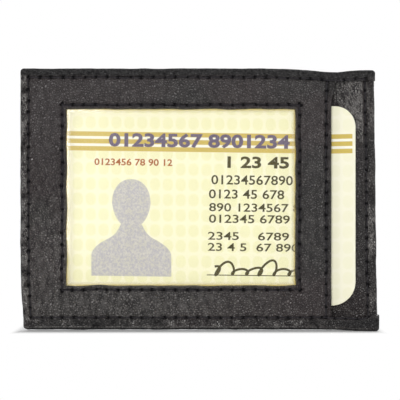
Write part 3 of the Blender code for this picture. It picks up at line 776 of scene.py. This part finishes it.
# Numbers printed on the card: solid strokes of dull ink, a hair thick, in rows as on a form.
INK_DEPTH = 0.000014
INK_RELIEF = 0.000004
INK_SPECK = 0.00035
PURPLE_INK = (0.135, 0.105, 0.165)
ORANGE_INK = (0.37, 0.115, 0.022)
BROWN_INK = (0.062, 0.049, 0.006)
OLIVE_INK = (0.050, 0.040, 0.002)


def ink_finish(name, tone):
    material, place = start_finish(name)
    press = place.lumps(INK_SPECK, 3.0)
    colour = press.step(0.3, 0.9).blend(tone, [1.5 * value + 0.01 for value in tone])
    end_finish(place, surface(place, colour, 0.55 + 0.15 * press, press, INK_RELIEF,
                              {"Specular IOR Level": 0.1}))
    return material


def drawn_shape(name, curve):
    """Turns a line of text or a pen stroke into a shape that bmesh can work on."""
    draft = bpy.data.objects.new(name + "_draft", curve)
    bpy.context.scene.collection.objects.link(draft)
    bpy.context.view_layer.update()
    mesh = bpy.data.meshes.new_from_object(draft.evaluated_get(
        bpy.context.evaluated_depsgraph_get()))
    bpy.data.objects.remove(draft)
    shape = bmesh.new()
    shape.from_mesh(mesh)
    bpy.data.meshes.remove(mesh)
    return shape


def put_on_card(name, shape, material, sharp_degrees):
    """Finishes a drawing, in metres from the card's lower left corner, on the card's face."""
    skew = Matrix.Rotation(CARD_SKEW, 4, "Y")
    upright = Matrix.Rotation(math.pi / 2, 4, "X")
    corner = Matrix.Translation((card_low.x, card_low.y - INK_DEPTH / 2, card_low.z))
    shape.transform(corner @ skew @ upright)
    bmesh.ops.recalc_face_normals(shape, faces=shape.faces)
    piece = finished(name, shape, sharp_degrees)
    dress(piece, material)
    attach(piece, "card")


def printed_line(name, digits, left, right, foot, head, weight, material):
    """A row of numbers that fills the space from left to right and from foot to head."""
    line = bpy.data.curves.new(name, "FONT")
    line.body = digits
    line.offset = weight
    line.resolution_u = 3
    shape = drawn_shape(name, line)
    low = Vector([min(vert.co[axis] for vert in shape.verts) for axis in range(3)])
    high = Vector([max(vert.co[axis] for vert in shape.verts) for axis in range(3)])
    fit = Vector(((right - left) / (high.x - low.x), (head - foot) / (high.y - low.y), 1.0))
    bmesh.ops.translate(shape, verts=shape.verts, vec=-low)
    bmesh.ops.scale(shape, verts=shape.verts, vec=fit)
    bmesh.ops.translate(shape, verts=shape.verts, vec=(left, foot, 0.0))
    thickened(shape, (0.0, 0.0, INK_DEPTH))
    put_on_card(name, shape, material, sharp_degrees=30.0)


purple_ink = ink_finish("purple_ink", PURPLE_INK)
orange_ink = ink_finish("orange_ink", ORANGE_INK)
brown_ink = ink_finish("brown_ink", BROWN_INK)
olive_ink = ink_finish("olive_ink", OLIVE_INK)
for name, digits, left, right, foot, head, weight, material in (
        ("card_heading", "01234567 8901234", 0.0182, 0.0672, 0.0432, 0.0471, 0.035, purple_ink),
        ("card_small_line", "0123456 78 90 12", 0.0144, 0.0355, 0.0382, 0.0401, 0.020, orange_ink),
        ("card_bold_line", "1 23 45", 0.0504, 0.0671, 0.0379, 0.0411, 0.030, brown_ink),
        ("card_line_1", "01234567890", 0.0461, 0.0682, 0.0334, 0.0360, 0.012, olive_ink),
        ("card_line_2", "0123 45 678", 0.0455, 0.0659, 0.0296, 0.0321, 0.012, olive_ink),
        ("card_line_3", "890 1234567 89", 0.0456, 0.0722, 0.0261, 0.0284, 0.012, olive_ink),
        ("card_line_4", "012345 6789 01", 0.0456, 0.0722, 0.0230, 0.0253, 0.012, olive_ink),
        ("card_line_5", "2345    6789 01", 0.0454, 0.0722, 0.0184, 0.0206, 0.012, olive_ink),
        ("card_line_6", "23 4 5  67 890", 0.0454, 0.0700, 0.0154, 0.0176, 0.012, olive_ink)):
    printed_line(name, digits, left, right, foot, head, weight, material)


def pen_stroke(name, points, radius, material):
    """A stroke of ink through points on the card, drawn with a round nib of this radius."""
    stroke = bpy.data.curves.new(name, "CURVE")
    stroke.dimensions = "3D"
    stroke.bevel_depth = radius
    stroke.bevel_resolution = 1
    stroke.use_fill_caps = True
    run = stroke.splines.new("POLY")
    run.points.add(len(points) - 1)
    for point, (x, y) in zip(run.points, points):
        point.co = (x, y, 0.0, 1.0)
    shape = drawn_shape(name, stroke)
    bmesh.ops.remove_doubles(shape, verts=shape.verts, dist=0.000001)
    open_ends = [edge for edge in shape.edges if edge.is_boundary]
    bmesh.ops.holes_fill(shape, edges=open_ends, sides=0)
    bmesh.ops.scale(shape, verts=shape.verts, vec=(1.0, 1.0, INK_DEPTH / radius))
    put_on_card(name, shape, material, sharp_degrees=60.0)


# A wavy pen line that forms no letters, on a printed rule.
WAVE_START, WAVE_END, WAVE_FOOT = 0.0468, 0.0716, 0.0089
WAVE_STEPS = 220
WAVE_TURNS = 6.5
WAVE_SWING, TALL_SWING = 0.0007, 0.0016
WAVE_RISE, TALL_RISE = 0.0010, 0.0012
LOOP_WIDTH = 0.0010
PEN_WIDTH, RULE_WIDTH = 0.00030, 0.00012
wave = []
for index in range(WAVE_STEPS + 1):
    share = index / WAVE_STEPS
    turn = 2 * math.pi * WAVE_TURNS * share
    tall = hump(share - 0.10, 0.08) + 0.9 * hump(share - 0.60, 0.10)
    swing = (WAVE_SWING + TALL_SWING * tall) * math.cos(turn)
    along = WAVE_START + (WAVE_END - WAVE_START) * share
    wave.append((along + LOOP_WIDTH * math.sin(turn) + 0.5 * swing,
                 WAVE_FOOT + WAVE_RISE + TALL_RISE * tall + swing))
pen_stroke("card_pen_wave", wave, PEN_WIDTH, brown_ink)
pen_stroke("card_pen_rule", [(0.0452, WAVE_FOOT), (0.0722, WAVE_FOOT)], RULE_WIDTH, olive_ink)


# Window film: clear soft plastic behind the window, held all round by the window's seam. It
# ripples slightly over the card, and carries a painted warm shade beside the cut edge of the leather.
film_low, film_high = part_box("window_film")
FILM_LAP = 0.0030
FILM_STEP = 0.0011
FILM_RIPPLE = 0.00007
FILM_RIPPLE_SIZE = 0.009
FILM_RELIEF = 0.00002
FILM_HAZE = 0.006
EDGE_SHADE_IN, EDGE_SHADE_OUT = 0.0012, 0.0004       # how far the painted warm shade at the edge fades to both sides
CLEAR_ALPHA, HAZE_ALPHA = 0.012, 0.02
EDGE_SHADE_ALPHA, SLANTING_ALPHA = 0.40, 0.35
FILM_CLEAR = (0.95, 0.96, 0.96)
FILM_EDGE_SHADE = (0.92, 0.70, 0.05)
film_size = film_high - film_low
film = flat_sheet(film_low, film_high, round(film_size.x / FILM_STEP),
                  round(film_size.z / FILM_STEP))
thickened(film, (0.0, film_size.y - FILM_RIPPLE, 0.0))
for vert in film.verts:
    vert.co.y += FILM_RIPPLE * uneven(vert.co.x, vert.co.z, FILM_RIPPLE_SIZE, 1.5)
bmesh.ops.recalc_face_normals(film, faces=film.faces)
window_film = finished("window_film_clear", film, sharp_degrees=40.0)

film_finish, film_place = start_finish("clear_film")
film_haze = film_place.lumps(FILM_HAZE, 3.0)
film_x, film_z = film_place.part("X"), film_place.part("Z")
from_seam = (film_x - film_low.x).least(film_high.x - film_x)
from_seam = from_seam.least(film_z - film_low.z).least(film_high.z - film_z)
# Painted warm shade: the film turns yellow and less clear next to the leather's edge.
edge_shade = from_seam.step(FILM_LAP + EDGE_SHADE_IN, FILM_LAP - EDGE_SHADE_OUT)
# At grazing angles the film shows more of its pale colour, partly its real reflection and partly a
# painted sheen.
slanting = film_place.node("LayerWeight", None, {"Blend": 0.5}, "Facing") ** 1.5
film_alpha = (CLEAR_ALPHA + HAZE_ALPHA * film_haze + EDGE_SHADE_ALPHA * edge_shade
              + SLANTING_ALPHA * slanting)
end_finish(film_place, surface(film_place, edge_shade.blend(FILM_CLEAR, FILM_EDGE_SHADE),
                               0.06 + 0.08 * film_haze, film_haze, FILM_RELIEF,
                               {"Alpha": film_alpha}))
dress(window_film, film_finish)
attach(window_film, "wallet")
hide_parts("window_film")


# Front panel: black pebbled leather with the window cut in it. The edges of the window and of
# the pocket's mouth are turned back and sewn down, and narrow strips run on above and below the
# mouth to the right edge.
WINDOW_LEFT, WINDOW_RIGHT = film_low.x + FILM_LAP, film_high.x - FILM_LAP
WINDOW_LOW, WINDOW_HIGH = film_low.z + FILM_LAP, film_high.z - FILM_LAP
STRIP_LOW = 0.0034
STRIP_HIGH = HEIGHT - 0.0029
FRONT_LEATHER = 0.0012
LIP_ROLL = 0.00055
LIP_PUFF = 0.00016
LIP_WIDTH = 0.0012
LIP_STEP = 0.00018
STRIP_STEP = 0.00028
WINDOW_SEAM_OFFSET = 0.00118
MOUTH_SEAM_OFFSET = 0.00135
OVERSEW = 0.0004             # how far the window's seams run past one another at its corners
BORDER_BLEND = 0.0008        # width over which a border passes into the next part
CRUMPLE_SIZE = 0.0034
CURL, CURL_X, CURL_WIDTH, CURL_HEIGHT = 0.0003, 0.0423, 0.0024, 0.0009
GATHER, GATHER_X, GATHER_SIZE = 0.00025, 0.0372, 0.0030     # where the strip meets the mouth
GATHER_FOLD = 0.0009
LOW_LEFT_UP_TO, LOW_LEFT_FADE_UP = 0.85 * HEIGHT, 0.035  # the front is paler and more creased towards its lower left, with painted glints
LOW_LEFT_ACROSS_TO, LOW_LEFT_FADE_ACROSS = 0.054, 0.06
FOOT_HIGHLIGHT, FOOT_HIGHLIGHT_WIDTH = 0.00066, 0.00020    # a painted highlight along the roll of the lower edge
# a line of painted shade just under that highlight
UNDER_SHADE, UNDER_SHADE_WIDTH = 0.00022, 0.00014
# painted shade in the crinkled corner at the lower strip's end
SHADED_CORNER, SHADED_CORNER_SIZE = (RIGHT - 0.0009, 0.0018), 0.0013
DULL_MOUTH, DULL_MOUTH_WIDTH = MOUTH - 0.0006, 0.0005
STRIP_OUT, STRIP_OUT_TOP = 0.00026, 0.00012      # how far the strips' ends stand out
STRIP_END = 0.006            # length of the strip's end
STRIP_FOLD = 0.0010          # how far the fold at the lower strip's end reaches up
STRIP_FOLD_FROM, STRIP_FOLD_OVER = RIGHT - 0.0045, 0.003
MOUTH_SPREAD, SPREAD_AT_TOP = 0.0001, 0.0013
SPREAD_FROM, SPREAD_OVER = STRIP_HIGH - 0.0065, 0.006
EDGE_PULL, WINDOW_PULL, PULL_SIZE = 0.00006, 0.00022, 0.006
WINDOW_REACH = 0.004
SEWN_LEFT, SEWN_RIGHT = WINDOW_LEFT - WINDOW_SEAM_OFFSET, WINDOW_RIGHT + WINDOW_SEAM_OFFSET
SEWN_LOW, SEWN_HIGH = WINDOW_LOW - WINDOW_SEAM_OFFSET, WINDOW_HIGH + WINDOW_SEAM_OFFSET
window_seams = [
    Seam("X", SEWN_HIGH, SEWN_LEFT - OVERSEW, SEWN_RIGHT + OVERSEW, 41),
    Seam("Z", SEWN_RIGHT, SEWN_HIGH + OVERSEW, SEWN_LOW - OVERSEW, 42),
    Seam("X", SEWN_LOW, SEWN_RIGHT + OVERSEW, SEWN_LEFT - OVERSEW, 43),
    Seam("Z", SEWN_LEFT, SEWN_LOW - OVERSEW, SEWN_HIGH + OVERSEW, 44)]
mouth_seam = Seam("Z", MOUTH - MOUTH_SEAM_OFFSET, TOP_SEAM, BOTTOM_SEAM, 45)
front_seams = [top_seam, left_seam, bottom_seam, mouth_seam] + window_seams


def outside(x, z, low_x, high_x, low_z, high_z):
    """Distance from a rectangle, for a point outside it."""
    return math.hypot(max(low_x - x, x - high_x, 0.0), max(low_z - z, z - high_z, 0.0))


def beside_window(x, z):
    return outside(x, z, WINDOW_LEFT, WINDOW_RIGHT, WINDOW_LOW, WINDOW_HIGH)


def lip(distance):
    """Rise of a turned edge: it rolls back at the cut and swells up to its seam."""
    swell = LIP_PUFF * math.sin(math.pi * min(distance / LIP_WIDTH, 1.0))
    return swell - rolled(distance, LIP_ROLL)


def front_outer(x, z):
    """Grain side of the front: its left and lower borders are crumpled and shiny, with painted glints
    on them and painted shade between their folds, and its top border has painted shade.
    """
    edge = body_edge(x, z)
    at_left = ease((LEFT_SEAM + BORDER_BLEND / 2 - x) / BORDER_BLEND)
    at_foot = ease((BOTTOM_SEAM - z) / BORDER_BLEND)
    at_top = ease((z - TOP_SEAM) / BORDER_BLEND)
    crumple = max(0.15, at_left, 0.7 * at_foot)
    rise, shade_and_edge_paint = grain_side(x, z, edge, front_seams, 51.0, crumple)
    rise += lip(beside_window(x, z))
    rise += 0.7 * lip(outside(x, z, MOUTH, RIGHT + LIP_WIDTH, STRIP_LOW, STRIP_HIGH))
    curl = hump(x - CURL_X, CURL_WIDTH) * hump(z - STRIP_HIGH, CURL_HEIGHT)
    gather = hump(math.hypot(x - GATHER_X, z - STRIP_HIGH), GATHER_SIZE)
    rise += CURL * curl + GATHER * gather * uneven(x, 0.3 * z, GATHER_FOLD, 5.5)
    low_left = ease((LOW_LEFT_UP_TO - z) / LOW_LEFT_FADE_UP)
    low_left *= ease((LOW_LEFT_ACROSS_TO - x) / LOW_LEFT_FADE_ACROSS)
    strip = ease((x - MOUTH) / 0.003)
    crumpled = uneven(1.4 * x, 1.4 * z, CRUMPLE_SIZE, 2.7)
    creased = max((0.05 + 0.52 * low_left) * (1.0 - 0.5 * at_foot),
                  at_left * (0.86 + 0.7 * crumpled),
                  at_foot * (0.50 + 0.6 * crumpled) * (1.0 - 0.5 * strip), 0.6 * gather)
    creased *= 1.0 - 0.8 * at_top
    corner = hump(math.hypot(x - SHADED_CORNER[0], z - SHADED_CORNER[1]), SHADED_CORNER_SIZE)
    at_mouth = hump(x - DULL_MOUTH, DULL_MOUTH_WIDTH)
    # Painted shade: a line under the lower edge's highlight, the crinkled corner, the top border and
    # the gaps between crumpled folds; the lower strip's foot and the mouth's edge are darker too.
    shade_and_edge_paint = max(shade_and_edge_paint, 0.5 * hump(z - UNDER_SHADE, UNDER_SHADE_WIDTH), 0.45 * corner, 0.46 * at_top,
               0.42 * strip * at_foot, 0.42 * at_mouth,
               0.5 * max(at_left, at_foot) * ease(-2.5 * crumpled - 0.1))
    # Wear with painted light: a painted highlight line along the lower edge, paler towards the right
    # and the lower left, painted shade on the top border, and a darker lower border.
    foot_highlight = hump(z - FOOT_HIGHLIGHT, FOOT_HIGHLIGHT_WIDTH) * (1.0 - corner)
    wear_and_painted_light = 0.64 + 0.14 * ease((x + 0.03) / 0.06) + 0.54 * low_left
    wear_and_painted_light += 1.7 * foot_highlight - 0.7 * at_top - 0.76 * at_foot
    return front_low.y - rise, (shade_and_edge_paint, creased, wear_and_painted_light)


def front_inner(x, z):
    edge = body_edge(x, z)
    if edge > TURNED_ALLOWANCE:
        return front_low.y + FRONT_LEATHER
    return front_high.y - rolled(edge, INNER_ROLL)


def front_wanted(x, z):
    in_window = WINDOW_LEFT < x < WINDOW_RIGHT and WINDOW_LOW < z < WINDOW_HIGH
    return not in_window and not (x > MOUTH and STRIP_LOW < z < STRIP_HIGH)


def front_place(x, z):
    """The sewn place. The strips' ends stand out past the pocket wall, the lower one is folded
    deeper at its end, and the turned edge of the mouth spreads towards its upper end.
    """
    moved_x, moved_z = sewn_place(x, z, 0.0, FRONT_RAISED)
    end = ease((x - RIGHT + STRIP_END) / STRIP_END)
    stand_out = STRIP_OUT if z < HEIGHT / 2 else STRIP_OUT_TOP
    spread = MOUTH_SPREAD + SPREAD_AT_TOP * ease((z - SPREAD_FROM) / SPREAD_OVER)
    spread *= hump(x - MOUTH, LIP_WIDTH)
    at_window = 1.0 - ease(beside_window(x, z) / WINDOW_REACH)
    pull = (EDGE_PULL + WINDOW_PULL * at_window) * uneven(x, z, PULL_SIZE, 8.0)
    deeper = STRIP_FOLD * ease((x - STRIP_FOLD_FROM) / STRIP_FOLD_OVER)
    deeper *= ease(1.0 - abs(z - STRIP_LOW) / STRIP_FOLD_OVER)
    return moved_x + end * stand_out + spread + pull, moved_z + deeper + pull


front_panel = leather_sheet(
    "front_panel_leather",
    stations((LEFT, ROLL_STEP), (LEFT + EDGE_ROLL, GRAIN_STEP),
             (WINDOW_LEFT - LIP_WIDTH, LIP_STEP), (WINDOW_LEFT, GRAIN_STEP),
             (WINDOW_RIGHT, LIP_STEP), (WINDOW_RIGHT + LIP_WIDTH, GRAIN_STEP),
             (MOUTH - LIP_WIDTH, LIP_STEP), (MOUTH, GRAIN_STEP),
             (RIGHT - EDGE_ROLL, ROLL_STEP), (RIGHT, None)),
    stations((0.0, ROLL_STEP), (EDGE_ROLL, STRIP_STEP), (STRIP_LOW, GRAIN_STEP),
             (WINDOW_LOW - LIP_WIDTH, LIP_STEP), (WINDOW_LOW, GRAIN_STEP),
             (WINDOW_HIGH, LIP_STEP), (WINDOW_HIGH + LIP_WIDTH, GRAIN_STEP),
             (STRIP_HIGH, STRIP_STEP), (HEIGHT - EDGE_ROLL, ROLL_STEP), (HEIGHT, None)),
    front_wanted, front_outer, front_inner, front_place)
dress(front_panel, leather_finish("front_leather", 0.0))
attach(front_panel, "wallet")
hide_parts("front_panel")


# Sewing thread: black bonded thread of two twisted plies, one thread for each run of stitches.
# It crosses the leather from hole to hole and sinks into each needle hole.
THREAD_RADIUS = 0.00020
THREAD_STEP = 0.00019
THREAD_SIDES = 8
TWIST_LENGTH = 0.0011
PLY_DEPTH = 0.14             # share of the radius by which the plies stand out
THREAD_SINK = 0.00045
SINK_SHARE = 0.20            # share of a stitch over which it sinks, at each end
THREAD_PROUD = 0.3           # height of its axis over the leather, against its radius
THREAD_RELIEF = 0.00002
FUZZ = 0.00012
THREAD_BOW = 0.00012         # how far a stitch can bow aside between its holes
THREAD_BLACK = (0.009, 0.0085, 0.0100)
THREAD_WORN = (0.045, 0.041, 0.046)

thread_finish, thread_place = start_finish("black_thread")
thread_fuzz = thread_place.lumps(FUZZ, 3.0)
end_finish(thread_place, surface(thread_place, thread_fuzz.blend(THREAD_BLACK, THREAD_WORN),
                                 0.55 + 0.2 * thread_fuzz, thread_fuzz, THREAD_RELIEF,
                                 {"Specular IOR Level": 0.15}))


def thread_path(holes, face, placed, outwards):
    """Points of a thread that lies on a face from hole to hole and sinks at each of them."""
    path = []
    draw = random.Random(len(holes))
    for start, end in zip(holes, holes[1:]):
        bow = draw.uniform(-THREAD_BOW, THREAD_BOW)
        run_x, run_z = end[0] - start[0], end[1] - start[1]
        length = math.hypot(run_x, run_z)
        count = max(6, round(length / THREAD_STEP))
        for index in range(count):
            share = index / count
            aside = bow * math.sin(math.pi * share) / length
            x = start[0] + run_x * share + run_z * aside
            z = start[1] + run_z * share - run_x * aside
            sunk = THREAD_SINK * (1.0 - ease(min(share, 1.0 - share) / SINK_SHARE))
            depth = face(x, z)[0] + outwards * (THREAD_PROUD * THREAD_RADIUS - sunk)
            moved = placed(x, z)
            path.append(Vector((moved[0], depth, moved[1])))
    return path


def sewn_thread(name, path):
    """A twisted thread along a path: oval rings, each turned a little further than the last."""
    thread = bmesh.new()
    oval = Matrix.Diagonal((1.0 + PLY_DEPTH, 1.0 - PLY_DEPTH, 1.0, 1.0))
    length = 0.0
    rings = []
    for index, place in enumerate(path):
        before, after = path[max(index - 1, 0)], path[min(index + 1, len(path) - 1)]
        along = (after - before).normalized()
        outward = Vector((0.0, 1.0, 0.0))
        outward = (outward - along * outward.dot(along)).normalized()
        across = Matrix((along.cross(outward), outward, along)).transposed().to_4x4()
        if index:
            length += (place - path[index - 1]).length
        twist = Matrix.Rotation(math.pi * length / TWIST_LENGTH, 4, "Z")
        ring = bmesh.ops.create_circle(thread, segments=THREAD_SIDES, radius=THREAD_RADIUS,
                                       matrix=Matrix.Translation(place) @ across @ twist @ oval)
        edges = list({edge for vert in ring["verts"] for edge in vert.link_edges})
        if rings:
            bmesh.ops.bridge_loops(thread, edges=rings[-1] + edges)
        rings.append(edges)
    bmesh.ops.holes_fill(thread, edges=rings[0] + rings[-1], sides=0)
    bmesh.ops.recalc_face_normals(thread, faces=thread.faces)
    piece = finished(name, thread, sharp_degrees=80.0)
    dress(piece, thread_finish)
    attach(piece, "wallet")


def seam_holes(*seams):
    """Needle holes of seams that follow one another, as one list."""
    holes = []
    for seam in seams:
        holes += [seam.point(hole) for hole in seam.holes[1 if holes else 0:]]
    return holes


sewn_thread("front_edge_thread", thread_path(seam_holes(top_seam, left_seam, bottom_seam),
                                             front_outer, front_place, -1))
for number, seam in enumerate(window_seams, start=1):
    sewn_thread(f"window_thread_{number}",
                thread_path(seam_holes(seam), front_outer, front_place, -1))
sewn_thread("mouth_thread", thread_path(seam_holes(mouth_seam), front_outer, front_place, -1))
sewn_thread("band_thread", thread_path(seam_holes(right_seam), wall_outer, wall_place, -1))
sewn_thread("back_edge_thread", thread_path(seam_holes(*edge_seams), back_outer, back_place, 1))


# Studio: a plain pale floor that fades into a white surround, soft lamps, and a long lens that
# looks straight at the window.
FLOOR_HALF = 1.5
FLOOR_TONE = (0.93, 0.93, 0.93)
SHADOW_ASIDE = 0.0025        # the floor turns white this far beside, before and behind the wallet
SHADOW_AHEAD = 0.010
SHADOW_BEHIND = 0.060
SHADOW_LIFT = 0.18
WORLD_FILL = 0.31
PIXEL = 0.00026963           # real size of one pixel at the wallet's front
AIM = Vector((0.00032, front_low.y, 0.03547))
IMAGE_PIXELS = 400
LENS = 180.0
SENSOR = 36.0


def seen_directly(place):
    """1 for what is seen straight, in a mirror or through the film, and 0 for lamplight."""
    seen = place.node("LightPath", output="Is Camera Ray")
    for kind in ("Is Glossy Ray", "Is Transmission Ray"):
        seen = seen.most(place.node("LightPath", output=kind))
    return seen


floor_mesh = bmesh.new()
bmesh.ops.create_grid(floor_mesh, x_segments=1, y_segments=1, size=FLOOR_HALF)
floor = finished("floor", floor_mesh, sharp_degrees=30.0)
floor_finish, floor_place = start_finish("pale_floor")
floor_seen = seen_directly(floor_place)
floor_y = floor_place.part("Y")
aside = (floor_place.part("X").size() - RIGHT) / SHADOW_ASIDE
ahead = (-1.0 * floor_y + front_low.y) / SHADOW_AHEAD
behind = (floor_y - back_high.y) / SHADOW_BEHIND
away = aside.most(ahead).most(behind).step(0.0, 1.0)
lit = floor_place.node("BsdfPrincipled", None, {
    "Base Color": FLOOR_TONE, "Roughness": 0.8, "Emission Color": floor_seen * SHADOW_LIFT,
    "Emission Strength": 1.0})
white = floor_place.node("Emission", None, {"Strength": 1.0})
end_finish(floor_place, floor_place.node("MixShader", None,
                                         {0: floor_seen * away, 1: lit, 2: white}))
dress(floor, floor_finish)

world = bpy.data.worlds.new("white_surround")
world.use_nodes = True
world.node_tree.nodes.clear()
sky = Signal(world.node_tree)
fill = sky.node("Background", None, {"Color": (1.0, 1.0, 1.0), "Strength": WORLD_FILL})
backdrop = sky.node("Background", None, {"Color": (1.0, 1.0, 1.0), "Strength": 1.0})
surround = sky.node("MixShader", None, {0: seen_directly(sky), 1: fill, 2: backdrop})
sky.node("OutputWorld", None, {0: surround})
bpy.context.scene.world = world


def lamp(name, place, size, power):
    """A square soft lamp that faces the middle of the wallet."""
    light = bpy.data.lights.new(name, "AREA")
    light.size = size
    light.energy = power
    holder = bpy.data.objects.new(name, light)
    holder.location = place
    facing = Vector((0.0, 0.0, HEIGHT / 2)) - Vector(place)
    holder.rotation_euler = facing.to_track_quat("-Z", "Y").to_euler()
    bpy.context.scene.collection.objects.link(holder)


lamp("key_lamp", (-0.11, -0.64, 0.055), 0.10, 1.16)
lamp("fill_lamp", (0.14, -0.63, 0.07), 0.12, 1.10)
lamp("side_lamp", (-0.48, -0.42, 0.10), 0.12, 0.48)
lamp("back_lamp", (0.15, 0.50, 0.25), 0.35, 1.4)

camera = bpy.data.cameras.new("camera")
camera.lens = LENS
camera.sensor_width = SENSOR
camera.clip_end = 10.0
eye = bpy.data.objects.new("camera", camera)
distance = IMAGE_PIXELS * PIXEL * LENS / SENSOR
eye.location = AIM - Vector((0.0, distance, 0.0))
eye.rotation_euler = (math.pi / 2, 0.0, 0.0)
bpy.context.scene.collection.objects.link(eye)
bpy.context.scene.camera = eye
bpy.context.scene.view_settings.view_transform = "Standard"
